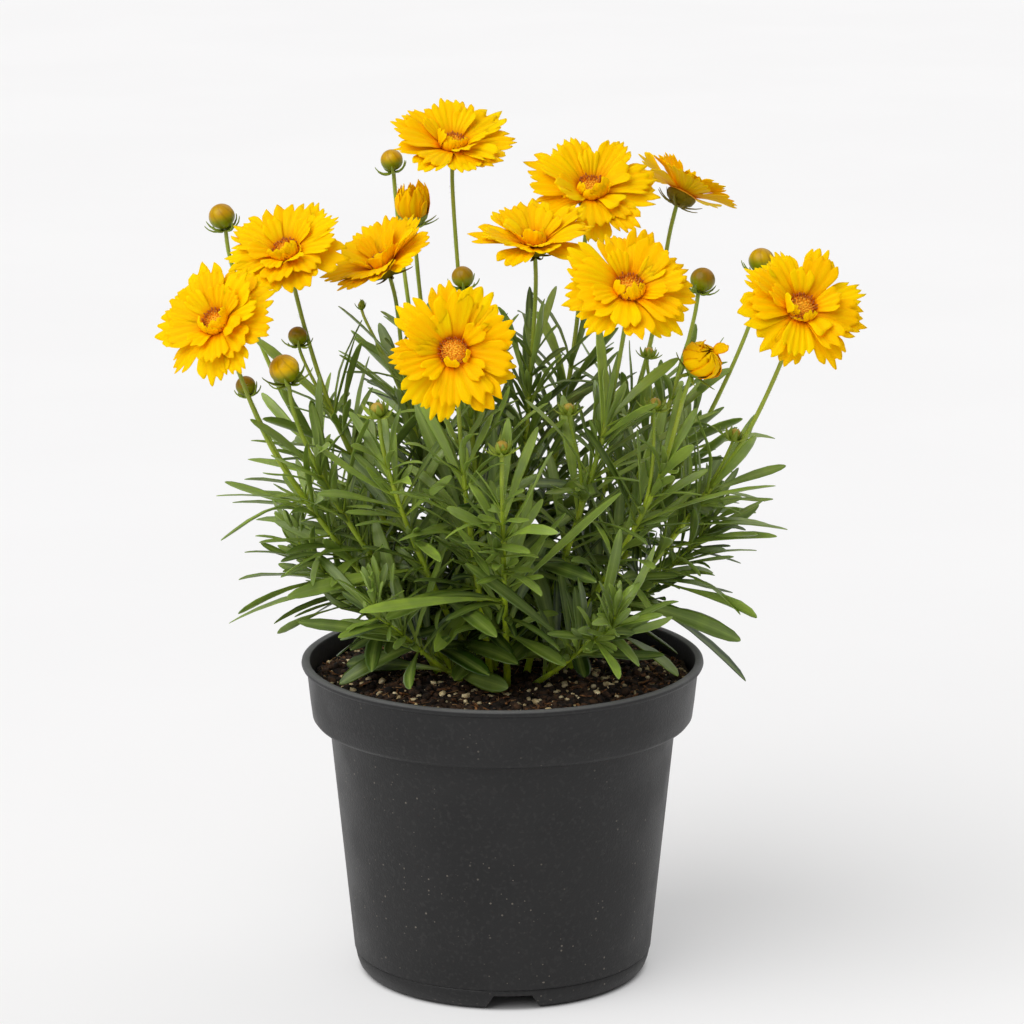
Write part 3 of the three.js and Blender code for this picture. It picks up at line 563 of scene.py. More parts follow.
# %% Spin the pot and cut its channels
POT_OUTLINE = [
    (0, 0), (58.4, 0), (60.2, 0.9), (61.6, 2.6), (62.6, 5.4), (63.2, 8.4), (62.9, 9.0), (63.6, 9.6),
    (65.0, 24.0), (69.2, 66.5), (73.3, 107.8), (73.7, 109.1), (74.6, 109.5), (77.6, 109.7), (79.4, 110.3),
    (80.5, 111.8), (81.4, 119.0), (82.7, 131.6), (83.0, 132.7), (83.8, 133.1), (84.6, 133.5), (85.0, 134.4),
    (84.8, 135.4), (84.0, 136.0), (82.6, 136.0), (81.6, 135.6), (81.1, 134.6), (80.2, 123.0), (79.0, 111.9),
    (77.6, 110.0), (72.6, 108.4), (71.8, 106.9), (65.3, 52.0), (58.6, 8.8), (57.8, 8.2), (0, 8.2),
]  # fmt: skip
POT_STEPS = 144
POT_SHARP = 40  # an edge that turns by more degrees than this is drawn sharp
WELD = 0.01
CHANNEL = {"count": 3, "turn": 184, "at": 60.2, "roof": 16, "foot": 25, "height": 6.8, "below": 1, "long": 32}


def spin_outline(name, outline, steps):
    """A solid of revolution about +Z, from its outline of radius and height."""
    mesh = bpy.data.meshes.new(name)
    points = [(radius * MM, 0, height * MM) for radius, height in outline]
    mesh.from_pydata(points, [(i, i + 1) for i in range(len(points) - 1)], [])
    piece = add_object(name, mesh)
    edit(piece)
    bpy.ops.mesh.spin(steps=steps, angle=2 * math.pi, center=(0, 0, 0), axis=(0, 0, 1))
    bpy.ops.mesh.select_all(action="SELECT")
    bpy.ops.mesh.remove_doubles(threshold=WELD * MM)
    bpy.ops.mesh.normals_make_consistent(inside=False)
    bpy.ops.object.mode_set(mode="OBJECT")
    return piece


def channel_cutter(angle):
    """A wedge that is wider at the table than at its roof."""
    deselect()
    bpy.ops.mesh.primitive_cube_add(size=1, location=(0, 0, 0))
    cutter = bpy.context.object
    points = points_of(cutter)
    is_top = points[:, 2] > 0
    x = points[:, 0] * np.where(is_top, CHANNEL["roof"], CHANNEL["foot"])
    y = points[:, 1] * CHANNEL["long"] + CHANNEL["at"]
    z = np.where(is_top, CHANNEL["height"], -CHANNEL["below"])
    turn = math.radians(angle)
    placed = [x * math.cos(turn) - y * math.sin(turn), x * math.sin(turn) + y * math.cos(turn), z]
    set_points(cutter, np.column_stack(placed) * MM)
    return cutter


def make_pot():
    pot = spin_outline("nursery_pot", POT_OUTLINE, POT_STEPS)
    for i in range(CHANNEL["count"]):
        cutter = channel_cutter(CHANNEL["turn"] + 360 * i / CHANNEL["count"])
        apply_modifier(pot, "BOOLEAN", object=cutter, operation="DIFFERENCE", solver="EXACT")
        bpy.data.objects.remove(cutter)
    smooth(pot, POT_SHARP)
    return pot


pot = make_pot()
print("pot:", len(pot.data.polygons), "faces")

# %% [markdown]
# ## The pot's finish
#
# The plastic is charcoal, matte and very slightly pebbled from its mould. Handling leaves broad dull patches.
# A pale band along the top of the lip is a painted highlight, and specks of dry soil cling to the pot, more
# of them towards its foot.

# %% Moulded charcoal plastic
PLASTIC = {
    "dark": rgb(0.0042, 0.004, 0.0042),
    "light": rgb(0.0085, 0.0082, 0.0083),
    "pebble": rgb(0.024, 0.023, 0.022),
    "lip_highlight": rgb(0.17, 0.17, 0.17),
    "dust": rgb(0.3, 0.26, 0.21),
}
# The band, in metres above the table, where the painted highlight lies on top of the lip.
LIP_HIGHLIGHT_BAND = (0.1348, 0.1358)  # metres above the table
SPECKS = ({"scale": 230.0, "size": 0.12, "share": 0.5}, {"scale": 400.0, "size": 0.13, "share": 0.4})
SPECK_STRENGTH = 0.42


def dust(tree, place, scale, size, share):
    """Specks of dust: a share of the cells of a Voronoi pattern get a round speck at their middle."""
    cells = add_node(tree, "ShaderNodeTexVoronoi", Vector=place, Scale=scale)
    near = ramp(tree, cells.outputs["Distance"], size, size * 0.6)
    chance = add_node(tree, "ShaderNodeSeparateColor", Color=cells.outputs["Color"]).outputs[0]
    return times(tree, near, ramp(tree, chance, 1 - share, 1 - share * 0.7, SPECK_STRENGTH))


def make_plastic():
    material, tree, shader = new_finish("charcoal_plastic", Specular_IOR_Level=0.38)
    place = object_place(tree)
    high = add_node(tree, "ShaderNodeSeparateXYZ", Vector=place).outputs["Z"]
    base, mask = mottled(tree, place, 38.0, PLASTIC["dark"], PLASTIC["light"])
    pebbles = ramp(tree, noise_of(tree, place, 520.0, 4.0), 0.5, 0.72, 0.5)
    # Painted highlight: a pale band along the top of the lip.
    lip_highlight = ramp(tree, high, *LIP_HIGHLIGHT_BAND, 0.7)
    colour = tinted(tree, base, (pebbles, PLASTIC["pebble"]), (lip_highlight, PLASTIC["lip_highlight"]))
    settling = math_of(tree, "SUBTRACT", noise_of(tree, place, 28.0), times(tree, high, 1.6))
    settled = ramp(tree, settling, 0.25, 0.55)
    for kind in SPECKS:
        colour = tinted(tree, colour, (times(tree, dust(tree, place, **kind), settled), PLASTIC["dust"]))
    tree.links.new(spread_out(tree, mask, 0.44, 0.54), shader.inputs["Roughness"])
    show(tree, shader, colour, grained(tree, place, 1100.0, 0.3))
    return material


put(pot, make_plastic(), "pot", "pot")
print("pot finished")

# %% [markdown]
# ## The soil
#
# Potting mix is peat with perlite, bark and fibres. A bed that fills the pot is spun like the pot itself,
# with many fine rings on its top, which are then raised and lowered into clods. The loose things lie on it
# as separate lumps, since no bump could give them their shadows.

# %% The bed of soil
SOIL = {"level": 128.5, "rise": 4.5, "edge": 73.4, "top": 79.2, "rings": 92, "steps": 220}
SOIL_WALL = [(0, 8.55), (56.8, 8.55), (70.0, 107.3), (77.2, 119.5), (79.2, 125.5)]
WAVE_HEIGHT = 1.3
CLODS = {"big": 1.5, "lumps": 2.1, "grit": 1.2, "sunk": 2.7}
SOFT = 60  # degrees


def soil_height(x, y):
    """The soil's own slow rise and fall: highest at the crown, with long waves and shorter ones on them."""
    share = np.minimum(1, np.hypot(x, y) / SOIL["edge"])
    waves = np.sin(x * 0.085 + 1.3) * np.cos(y * 0.085 - 0.4) + 0.6 * np.sin(x * 0.23 - y * 0.161)
    return SOIL["level"] + SOIL["rise"] * (1 - share * share) + WAVE_HEIGHT * waves


def clods(x, y):
    """How far the clods stand above the slow surface: big lumps, small lumps, and grit."""
    big = noise.noise((x * 0.11, y * 0.11, 3.1))
    lumps = 1 - noise.voronoi((x * 0.27, y * 0.27, 0.7))[0][0]
    grit = 1 - noise.voronoi((x * 0.62, y * 0.62, 5.7))[0][0]
    return CLODS["big"] * big + CLODS["lumps"] * lumps + CLODS["grit"] * grit - CLODS["sunk"]


def make_bed():
    top = [(SOIL["top"] * (1 - i / SOIL["rings"]), SOIL["level"]) for i in range(SOIL["rings"] + 1)]
    bed = spin_outline("soil_bed", SOIL_WALL + top, SOIL["steps"])
    points = points_of(bed) / MM
    for i in np.flatnonzero(points[:, 2] > SOIL["level"] - 0.1):
        x, y, _ = points[i]
        points[i, 2] = soil_height(x, y) + clods(x, y)
    set_points(bed, points * MM)
    smooth(bed, SOFT)
    return bed


bed = make_bed()
print("soil bed:", len(bed.data.polygons), "faces")

# %% Crumbs, perlite, bark and fibres on the bed
LITTER = {
    "soil_crumbs": {"count": 2200, "size": (0.5, 1.7), "flat": 0.75, "long": 1.3, "sunk": 0.25},
    "perlite": {"count": 780, "size": (0.3, 1.35), "flat": 0.7, "long": 1.25, "sunk": 0.15},
    "bark_chips": {"count": 800, "size": (0.35, 0.9), "flat": 0.5, "long": 4.0, "sunk": 0.05},
    "fibres": {"count": 420, "size": (0.14, 0.26), "flat": 0.7, "long": 15.0, "sunk": -0.6},
}
LUMP_CHANCE = {"small": 2.4, "tilt": 0.35, "long": (0.8, 1), "wide": (0.7, 1), "dents": (0.78, 1.22)}
LUMP_ROUND = 0.72
DEEPEST_HOLE = -1.2


def lump_master():
    """A rough round lump: a cube, divided and pulled out towards a ball."""
    deselect()
    bpy.ops.mesh.primitive_cube_add(size=2, location=(0, 0, 0))
    lump = bpy.context.object
    edit(lump)
    bpy.ops.mesh.subdivide(number_cuts=1)
    bpy.ops.transform.tosphere(value=LUMP_ROUND)
    bpy.ops.object.mode_set(mode="OBJECT")
    return master_of(lump)


LUMP = lump_master()


def spot_on_soil(chance, margin):
    radius = (SOIL["top"] - margin) * math.sqrt(chance.random())
    angle = chance.uniform(0, 2 * math.pi)
    return radius * math.cos(angle), radius * math.sin(angle)


def litter(name, chance, count, size, flat, long, sunk):
    copies = []
    for _ in range(count):
        radius = mix(*size, chance.random() ** LUMP_CHANCE["small"])
        x, y = spot_on_soil(chance, radius * 1.6)
        turn = Matrix.Rotation(chance.uniform(0, math.pi), 3, "Z")
        turn = turn @ Matrix.Rotation(chance.gauss(0, LUMP_CHANCE["tilt"]), 3, "Y")
        sizes = [chance.uniform(*LUMP_CHANCE[side]) for side in ("long", "wide", "wide")]
        dents = np.array([[chance.uniform(*LUMP_CHANCE["dents"])] for _ in LUMP["points"]])
        points = (LUMP["points"] * dents * (np.array(sizes) * (long, 1, flat)) * radius) @ np.array(turn).T
        high = soil_height(x, y) + max(clods(x, y), DEEPEST_HOLE) + radius * (0.5 - sunk)
        copies.append((LUMP, points + (x, y, high), chance.random()))
    return gather(name, copies)


print("lump master:", len(LUMP["faces"]), "faces")

# %% Finishes of the soil and what lies on it
def make_earth(name, dark, light, scale, depth, roughness):
    """Two colours in blotches, each lump as bright as its tone."""
    material, tree, shader = new_finish(name, Roughness=roughness)
    place = object_place(tree)
    base, _ = mottled(tree, place, scale, dark, light)
    bright = spread_out(tree, tone_of(tree), 0.55, 1.3)
    shaded = add_node(tree, "ShaderNodeVectorMath", {"operation": "SCALE"}, _0=base, Scale=bright)
    show(tree, shader, shaded.outputs[0], grained(tree, place, scale * 3, depth))
    return material


PEAT = make_earth("moist_peat", rgb(0.008, 0.004, 0.002), rgb(0.075, 0.036, 0.016), 300.0, 0.9, 0.95)
LITTER_FINISHES = [
    PEAT,
    make_earth("perlite", rgb(0.62, 0.46, 0.22), rgb(1.0, 0.84, 0.52), 500.0, 0.4, 0.85),
    make_earth("bark", rgb(0.07, 0.022, 0.006), rgb(0.3, 0.13, 0.04), 700.0, 0.6, 0.8),
    make_earth("fibre", rgb(0.2, 0.09, 0.03), rgb(0.42, 0.24, 0.09), 300.0, 0.3, 0.8),
]
put(bed, PEAT, "soil", "soil")
for seed, (litter_name, finish) in enumerate(zip(LITTER, LITTER_FINISHES)):
    put(litter(litter_name, random.Random(seed), **LITTER[litter_name]), finish, "soil")
print("soil finished, with", len(LITTER), "kinds of litter")

# %% [markdown]
# ## Blade masters
#
# A leaf is a narrow blade, thin at its edges and creased along its midrib. It is pulled out of a ring: the
# ring is extruded along, and each new ring is resized to the leaf's width and thickness there. Bracts, which
# are the small leaves round a bud, and the florets of the disc are pulled in the same way.

# %% Pull blades out of a ring
LEAF_SIDES = 8
LEAST_WIDTH = 1e-4
FLORET_SIDES = 6
FLORET_STATIONS = [(0, 0.42, 0.42), (0.62, 0.42, 0.42), (0.86, 0.62, 0.62), (1, 0.3, 0.3)]
GROOVE, RIB = -0.375, 1.5  # how the midrib's corners are moved, above and below


def pull_blade(name, sides, stations):
    """A closed blade along +X. Each station is its place along, its half width, and its half thickness."""
    deselect()
    facing_x = (0, math.pi / 2, 0)
    bpy.ops.mesh.primitive_circle_add(vertices=sides, radius=1, fill_type="NGON", rotation=facing_x)
    blade = bpy.context.object
    blade.name = name
    bpy.ops.object.transform_apply(location=True, rotation=True, scale=True)
    edit(blade)
    (along, wide, thick), *rest = stations
    bpy.ops.transform.resize(value=(1, wide, thick), center_override=(0, 0, 0))
    for next_along, next_wide, next_thick in rest:
        bpy.ops.mesh.extrude_region_move(TRANSFORM_OT_translate={"value": (next_along - along, 0, 0)})
        scale = (1, next_wide / wide, next_thick / thick)
        bpy.ops.transform.resize(value=scale, center_override=(next_along, 0, 0))
        along, wide, thick = next_along, next_wide, next_thick
    bpy.ops.mesh.select_all(action="SELECT")
    bpy.ops.mesh.normals_make_consistent(inside=False)
    bpy.ops.object.mode_set(mode="OBJECT")
    return blade


def leaf_master(name, stations):
    """A leaf with a groove above and a rib below. Its flat third number is 1 above and 0 below."""
    leaf = pull_blade(name, LEAF_SIDES, stations)
    points = points_of(leaf)
    along, across, high = points.T
    moved = high * np.where(high > 0, GROOVE, RIB)
    points[:, 2] = np.where(np.abs(across) < LEAST_WIDTH, moved, high)
    set_points(leaf, points)
    return master_of(leaf, np.column_stack([along, across, points[:, 2] >= 0]))


SPOON = leaf_master(
    "spoon_leaf",
    [(0, 0.22, 1), (0.14, 0.2, 0.9), (0.32, 0.4, 0.8), (0.5, 0.78, 0.7), (0.67, 1, 0.65), (0.82, 0.96, 0.6),
     (0.93, 0.68, 0.5), (0.985, 0.3, 0.4), (1, 0.08, 0.3)],
)  # fmt: skip
STRAP = leaf_master(
    "strap_leaf",
    [(0, 0.36, 1), (0.1, 0.34, 0.9), (0.26, 0.52, 0.8), (0.45, 0.82, 0.7), (0.64, 1, 0.65), (0.81, 0.94, 0.6),
     (0.93, 0.64, 0.5), (0.985, 0.3, 0.4), (1, 0.08, 0.3)],
)  # fmt: skip
BRACT = leaf_master(
    "bract", [(0, 0.7, 1), (0.2, 1, 1), (0.45, 0.9, 0.8), (0.7, 0.6, 0.6), (0.9, 0.3, 0.5), (1, 0.06, 0.3)]
)
FLORET = master_of(pull_blade("floret", FLORET_SIDES, FLORET_STATIONS))
print("leaf:", len(STRAP["faces"]), "faces; bract:", len(BRACT["faces"]), "; floret:", len(FLORET["faces"]))

# %% [markdown]
# ## Petal masters
#
# A petal is a flat sheet, so it starts as a grid. Its rows are drawn in to a narrow root, its far edge is cut
# into blunt teeth, and it is pleated lengthwise, with a fold running down from each gap between its teeth.
# Solidify gives the finished ring of petals its thickness in one go.

# %% Petal masters
PETAL_WIDTHS = [(0, 0.3), (0.15, 0.47), (0.35, 0.62), (0.55, 0.77), (0.75, 0.93), (0.9, 1), (1, 0.96)]
POINTED_WIDTHS = [(0, 0.5), (0.3, 0.9), (0.55, 1), (0.75, 0.82), (0.9, 0.45), (1, 0.12)]
TWO_POINTED_WIDTHS = [(0, 0.5), (0.3, 0.85), (0.6, 1), (0.8, 0.8), (1, 0.4)]
ROUND_WIDTHS = [(0, 0.35), (0.3, 0.6), (0.6, 0.95), (0.85, 1), (1, 0.6)]
FOLD_WIDTH = 0.22  # as a share of a tooth
CREASE = 0.2


def petal_master(teeth, depth, rows=10, cuts=5, widths=PETAL_WIDTHS):
    """A toothed, pleated sheet. Its teeth are given by how far each reaches, as a share of its length."""
    deselect()
    bpy.ops.mesh.primitive_grid_add(x_subdivisions=rows, y_subdivisions=len(teeth) * cuts, size=2)
    sheet = bpy.context.object
    points = points_of(sheet)
    along, across = (points[:, 0] + 1) / 2, points[:, 1]
    place = (across + 1) / 2 * len(teeth)
    tooth = np.minimum(place.astype(int), len(teeth) - 1)
    notch = np.abs(place - tooth - 0.5) * 2
    reach = np.array(teeth)[tooth] - depth * notch**1.1
    gaps = np.arange(1, len(teeth))
    groove = np.exp(-(((place[:, None] - gaps) / FOLD_WIDTH) ** 2)).sum(axis=1)
    pleats = 0.3 - groove + CREASE * np.cos(place * 4 * math.pi)
    fold = pleats * np.sin(np.clip(along * 1.3, 0, 1) * math.pi / 2)
    shaped = np.column_stack([along * reach, across * np.interp(along, *zip(*widths)), fold])
    return master_of(sheet, np.column_stack([along, across, groove])) | {"points": shaped}


BROAD = [
    petal_master([0.9, 1, 0.97, 0.87], 0.11),
    petal_master([0.84, 0.96, 1, 0.9], 0.13),
    petal_master([0.93, 1, 0.9], 0.13, cuts=6),
    petal_master([0.84, 0.94, 1, 0.96, 0.87], 0.1, cuts=4),
]
NARROW = [
    petal_master([0.92, 1, 0.86], 0.15, rows=8, cuts=4),
    petal_master([0.92, 1], 0.13, rows=8),
]
POINTED = [
    petal_master([1], 0.05, rows=8, cuts=6, widths=POINTED_WIDTHS),
    petal_master([0.94, 1], 0.08, rows=8, cuts=4, widths=TWO_POINTED_WIDTHS),
]
ROUND = [petal_master([1], 0.12, rows=8, cuts=6, widths=ROUND_WIDTHS)]
print("petals:", [len(master["faces"]) for master in BROAD + NARROW], "faces")

# %% [markdown]
# ## The blooms
#
# A semi-double bloom has three rings. Nine broad petals spread out almost level, seven stand a little
# steeper inside them, and five shorter ones stand round the disc, with a gap at the front that lets the disc
# show. A few small petals curl up on both sides of that gap. No two petals are alike, so each copy gets its
# own reach, tilt, trough, wave and roll.

# %% Grow a bloom's petals
LAYERS = [
    {"count": 9, "masters": BROAD, "root": 4.4, "reach": 29.0, "half": 7.9, "start": 15, "bend": 22,
     "loose": 5},
    {"count": 7, "masters": BROAD, "root": 4.4, "reach": 25.2, "half": 7.2, "start": 29, "bend": 27,
     "loose": 9},
    {"count": 5, "masters": BROAD[:2] + NARROW, "root": 5.0, "reach": 19.0, "half": 5.0, "start": 46,
     "bend": 26, "loose": 16, "open_front": 0.93},
]  # fmt: skip
LAYER_TURN = 0.55
LAYER_STEP = 0.45
PETAL_STEP = 0.15
PETAL_CHANCE = {
    "wave": (0.4, 1.5),
    "waves": (3, 6),
    "trough": (-0.1, 0.45),
    "roll": (4, 6),
    "swerve": (0, 0.12),
    "fold": (0.25, 0.6),
    "half": (0.8, 1.12),
    "start": (0, 5),
    "length": (0.92, 1.05),
    "bend": (0, 9),
}
RAGGED = 0.045
CURL = {"masters": NARROW, "root": 5.8, "reach": 16.4, "half": 4.0, "start": 68, "bend": -62}
CURL_ARCS = (0.12, 1.35)
CURL_CHANCE = {"size": (0.5, 1.1), "start": (0, 10), "bend": (-45, 45), "tone": (0.4, 1)}
CURL_LEVEL = 0.8
PETAL_LEVEL = CUP_HEIGHT + 0.7
PETAL_THICK = 0.2


def petal_points(master, half, chance):
    """One petal, still flat, with a pleating, a wave, a trough, a roll and a swerve of its own."""
    usual = PETAL_CHANCE
    along, across, fold = master["points"].T
    wave = chance.uniform(*usual["wave"])
    wave *= np.sin(along * chance.uniform(*usual["waves"]) + across * 2 + chance.uniform(0, 6))
    trough = chance.uniform(*usual["trough"]) * half * across**2 * along * (1.4 - along)
    roll = math.tan(math.radians(chance.gauss(*usual["roll"]))) * across * half * along
    swerve = chance.gauss(*usual["swerve"]) * along**2 * half
    ragged = 1 + RAGGED * np.sin(across * 7 + chance.uniform(0, 6)) * along**2
    high = fold * chance.uniform(*usual["fold"]) + wave * np.abs(across) * along + trough + roll
    side = chance.choice((-1, 1))
    return np.column_stack([along * ragged, side * (across * half + swerve), high])


def grow_petal(layer, level, angle, lift, chance):
    usual = PETAL_CHANCE
    master = chance.choice(layer["masters"])
    points = petal_points(master, layer["half"] * chance.uniform(*usual["half"]), chance)
    rise = math.radians(layer["start"] + lift + chance.gauss(*usual["start"]))
    root = outward(angle) * layer["root"] + UP * level
    length = (layer["reach"] - layer["root"]) * chance.uniform(*usual["length"])
    bend = math.radians(layer["bend"] + chance.gauss(*usual["bend"]))
    return master, raised(points, root, angle, rise, length, bend)


def curled_petals(head, chance):
    """Small petals that stand up on both sides of the disc's front, and mostly curl in over it."""
    copies = []
    for i in range(head["curls"]):
        side = 1 if i % 2 else -1
        angle = front_angle(head) + side * mix(*CURL_ARCS, (i + chance.random()) / head["curls"])
        size = chance.uniform(*CURL_CHANCE["size"])
        curl = CURL | {"reach": mix(CURL["root"], CURL["reach"], size), "half": CURL["half"] * size}
        curl["start"] += chance.gauss(*CURL_CHANCE["start"])
        curl["bend"] += chance.uniform(*CURL_CHANCE["bend"])
        master, points = grow_petal(curl, PETAL_LEVEL + CURL_LEVEL, angle, 0, chance)
        copies.append((master, in_place(head, points), chance.uniform(*CURL_CHANCE["tone"])))
    return copies


def petal_piece(name, copies):
    """A ring of petals as one piece, with its thickness."""
    petals = gather(name, copies)
    apply_modifier(petals, "SOLIDIFY", thickness=PETAL_THICK * MM, offset=0.0)
    return petals


def grow_petals(number, head):
    chance = chance_of("petals", number)
    spread = head.get("spread", 1)
    copies = []
    for depth, layer in enumerate(LAYERS):
        for i in range(layer["count"]):
            even = 2 * math.pi * (i + depth * LAYER_TURN) / layer["count"]
            angle = even + math.radians(chance.gauss(0, layer["loose"]))
            if math.cos(angle - front_angle(head)) > layer.get("open_front", 2):
                continue
            level = PETAL_LEVEL + depth * LAYER_STEP + PETAL_STEP * (i % 2)
            master, points = grow_petal(layer, level, angle, head.get("lift", 0), chance)
            copies.append((master, in_place(head, points * (spread, spread, 1)), chance.random()))
    return petal_piece("bloom_petals_" + number, copies + curled_petals(head, chance))


bloom_petals = {number: grow_petals(number, head) for number, head in BLOOMS.items()}
print("petals of one bloom:", len(bloom_petals["01"].data.polygons), "faces")

# %% Petal finish
# Painted shade: dark red at the throat, where the petals' roots lie in the hollow under the disc.
THROAT_SHADE = rgb(0.42, 0.05, 0.0)
# The root and fold colours are painted shade, warmer towards the centre and in the pleats' folds. The fold
# colour also tints the veins.
GOLDEN = {
    "deep": rgb(1.0, 0.5, 0.0),
    "bright": rgb(1.0, 0.6, 0.0),
    "root": rgb(0.92, 0.24, 0.0),
    "fold": rgb(1.0, 0.4, 0.0),
}


def make_petal_finish(name, colours, edge_share, scattered):
    """Gold in two tones, with painted shade at the root, in the folds and at the throat; orange edges where
    wanted.
    """
    glow = scatter(scattered, 0.8, 0.8, 0.1)
    material, tree, shader = new_finish(name, Roughness=0.55, Specular_IOR_Level=0.03, **glow)
    along, across, groove = blade_of(tree)
    tone = tone_of(tree)
    veins = veins_of(tree, times(tree, along, 1.3), times(tree, across, 14.0), tone)
    colour = tinted(
        tree,
        blend_colours(tree, tone, colours["deep"], colours["bright"]),
        # Painted shade in the folds, towards the root and at the throat.
        (times(tree, groove, 0.38), colours["fold"]),
        (ramp(tree, along, 0.5, 0.0, 0.9), colours["root"]),
        (ramp(tree, along, 0.24, 0.04, 0.8), THROAT_SHADE),
        (ramp(tree, math_of(tree, "ABSOLUTE", across), 0.7, 1.0, edge_share), colours["root"]),
        (ramp(tree, veins, 0.5, 0.75, 0.4), colours["fold"]),
    )
    show(tree, shader, colour, bump_of(tree, veins, 0.4, 0.25))
    return material


PETAL_FINISH = make_petal_finish("golden_petal", GOLDEN, 0.0, 0.5)
for number, petals in bloom_petals.items():
    put(petals, PETAL_FINISH, "petal", "petals_" + number)
print("petals finished")

# %% [markdown]
# ## The discs
#
# The middle of the bloom is a low dome of tube-shaped florets. They stand in the crossing spirals that
# flower heads are known for, each one turned from the last by the golden angle. The outer florets are open,
# taller and tipped red-brown, and the inner ones are still closed.

# %% Grow a disc of florets
GOLDEN_ANGLE = math.pi * (3 - math.sqrt(5))
DISC = {"florets": 88, "radius": 4.3, "base": CUP_HEIGHT + RING_HEIGHT - 0.7, "rise": 1.1}
DISC_OUTLINE = [(0, 5.6), (6.9, 6.2), (6.9, 6.6), (5.4, 7.1), (4.4, 7.8), (3.0, 8.4), (0, 8.7)]
OPEN_FROM = (0.35, 0.8)
FLORET_TALL = (1.5, 3.4)
FLORET_THICK = (0.66, 0.58)
FLORET_COLOURS = {"inner": rgb(1.0, 0.56, 0.014), "outer": rgb(1.0, 0.44, 0.0), "tip": rgb(0.3, 0.03, 0.002)}
SMALL_STEPS = 32


def spun_master(outline):
    """A small spun solid as a master, which is kept in millimetres."""
    enlarged = [(radius / MM, height / MM) for radius, height in outline]
    return master_of(spin_outline("spun", enlarged, SMALL_STEPS))


DISC_DOME = spun_master(DISC_OUTLINE)
DISC_DOME["flat"] = DISC_DOME["points"] * 0
DOME_TONE = 0.6
FLORET_CHANCE = {"lean": (0, 0.12), "tall": (0.8, 1.2), "bend": (0.2, 0.2)}
RIM_LEAN = 0.62


def grow_disc(number, head):
    chance = chance_of("disc", number)
    copies = [(DISC_DOME, in_place(head, DISC_DOME["points"]), DOME_TONE)]
    for i in range(DISC["florets"]):
        share = math.sqrt((i + 0.5) / DISC["florets"])
        out = outward(i * GOLDEN_ANGLE)
        heading = unit(out * (RIM_LEAN * share + chance.gauss(*FLORET_CHANCE["lean"])) + UP)
        below = unit(np.cross(np.cross(heading, out), heading))
        root = out * DISC["radius"] * share + UP * (DISC["base"] + DISC["rise"] * (1 - share**2))
        tall = mix(*FLORET_TALL, share_between(share, *OPEN_FROM)) * chance.uniform(*FLORET_CHANCE["tall"])
        thick = mix(*FLORET_THICK, share)
        bend = chance.gauss(*FLORET_CHANCE["bend"])
        points = on_arc(FLORET["points"] * (1, thick, thick), root, heading, below, tall, bend)
        copies.append((FLORET, in_place(head, points), share))
    return gather("bloom_disc_" + number, copies)


def make_floret_finish():
    material, tree, shader = new_finish("disc_floret", Roughness=0.6)
    along, rim = blade_of(tree)[0], tone_of(tree)
    body = blend_colours(tree, ramp(tree, rim, 0.2, 0.95), FLORET_COLOURS["inner"], FLORET_COLOURS["outer"])
    tip = times(tree, ramp(tree, along, 0.5, 0.8), ramp(tree, rim, 0.45, 0.8, 0.85))
    colour = tinted(tree, body, (tip, FLORET_COLOURS["tip"]))
    show(tree, shader, colour, grained(tree, object_place(tree), 1500.0, 0.3))
    return material


FLORET_FINISH = make_floret_finish()
for number, head in BLOOMS.items():
    put(grow_disc(number, head), FLORET_FINISH, "disc", "disc_" + number)
print("discs finished")

# %% [markdown]
# ## Where the stems run
#
# A stem's centre line is a smooth curve through a few points: its foot, three points that bow outwards, the
# neck under its head, and the head. Its solid shows where the foot stands. It also shows which way the stem
# sways round its neighbours: of the sways that a stem may have, the right one has the solid's rings round it.

# %% Stem lines
STEM = {"foot_radius": 1.75, "tip_radius": 1.0, "neck": 12, "stations": (0.14, 0.36, 0.62, 0.88)}
STEM_BOW = [(0.1, 0.09), (0.34, 0.4), (0.68, 0.79)]
BRANCH = {"foot_radius": 1.0, "tip_radius": 0.75, "neck": 6, "stations": (0.35, 0.75), "rise": 0.45}
SWAYS = (0, 4, -4, 8, -8, 12, -12, 17, -17, 22, -22)
STEM_POINTS, BRANCH_POINTS = 90, 40
SPAN_STEPS, BRANCH_STEPS = 40, 120
NEAR = 0.01


def knot_times(points):
    steps = [max(np.linalg.norm(b - a), 1e-6) ** 0.5 for a, b in zip(points, points[1:])]
    return np.concatenate([[0], np.cumsum(steps)])


def smooth_line(points):
    """A centripetal Catmull-Rom curve through the points, as points spaced evenly along it."""
    ends = [2 * points[0] - points[1], *points, 2 * points[-1] - points[-2]]
    raw = []
    for i in range(len(points) - 1):
        p = ends[i : i + 4]
        t = knot_times(p)
        for s in np.linspace(t[1], t[2], SPAN_STEPS, endpoint=False):
            a = [mix(p[k], p[k + 1], (s - t[k]) / (t[k + 1] - t[k])) for k in range(3)]
            b = [mix(a[k], a[k + 1], (s - t[k]) / (t[k + 2] - t[k])) for k in range(2)]
            raw.append(mix(b[0], b[1], (s - t[1]) / (t[2] - t[1])))
    return evenly(np.array([*raw, points[-1]]), STEM_POINTS)


def evenly(line, count):
    gone = np.concatenate([[0], np.cumsum(np.linalg.norm(np.diff(line, axis=0), axis=1))])
    places = np.linspace(0, gone[-1], count + 1)
    return np.column_stack([np.interp(places, gone, line[:, axis]) for axis in range(3)])


def point_on(line, share):
    place = share * (len(line) - 1)
    low = min(int(place), len(line) - 2)
    return mix(line[low], line[low + 1], place - low)


def heading_on(line, share):
    return unit(point_on(line, share + NEAR) - point_on(line, share - NEAR))


def stem_line(foot, tip, facing, sway):
    sideways = unit([foot[1] - tip[1], tip[0] - foot[0], 0]) * sway
    bowed = []
    for high, out in STEM_BOW:
        point = mix(foot, tip, out)
        point[2] = mix(foot[2], tip[2], high)
        bowed.append(point + sideways * math.sin(math.pi * high))
    neck = tip - (facing + UP) * STEM["neck"] / 2
    return smooth_line([foot, *bowed, neck, tip])


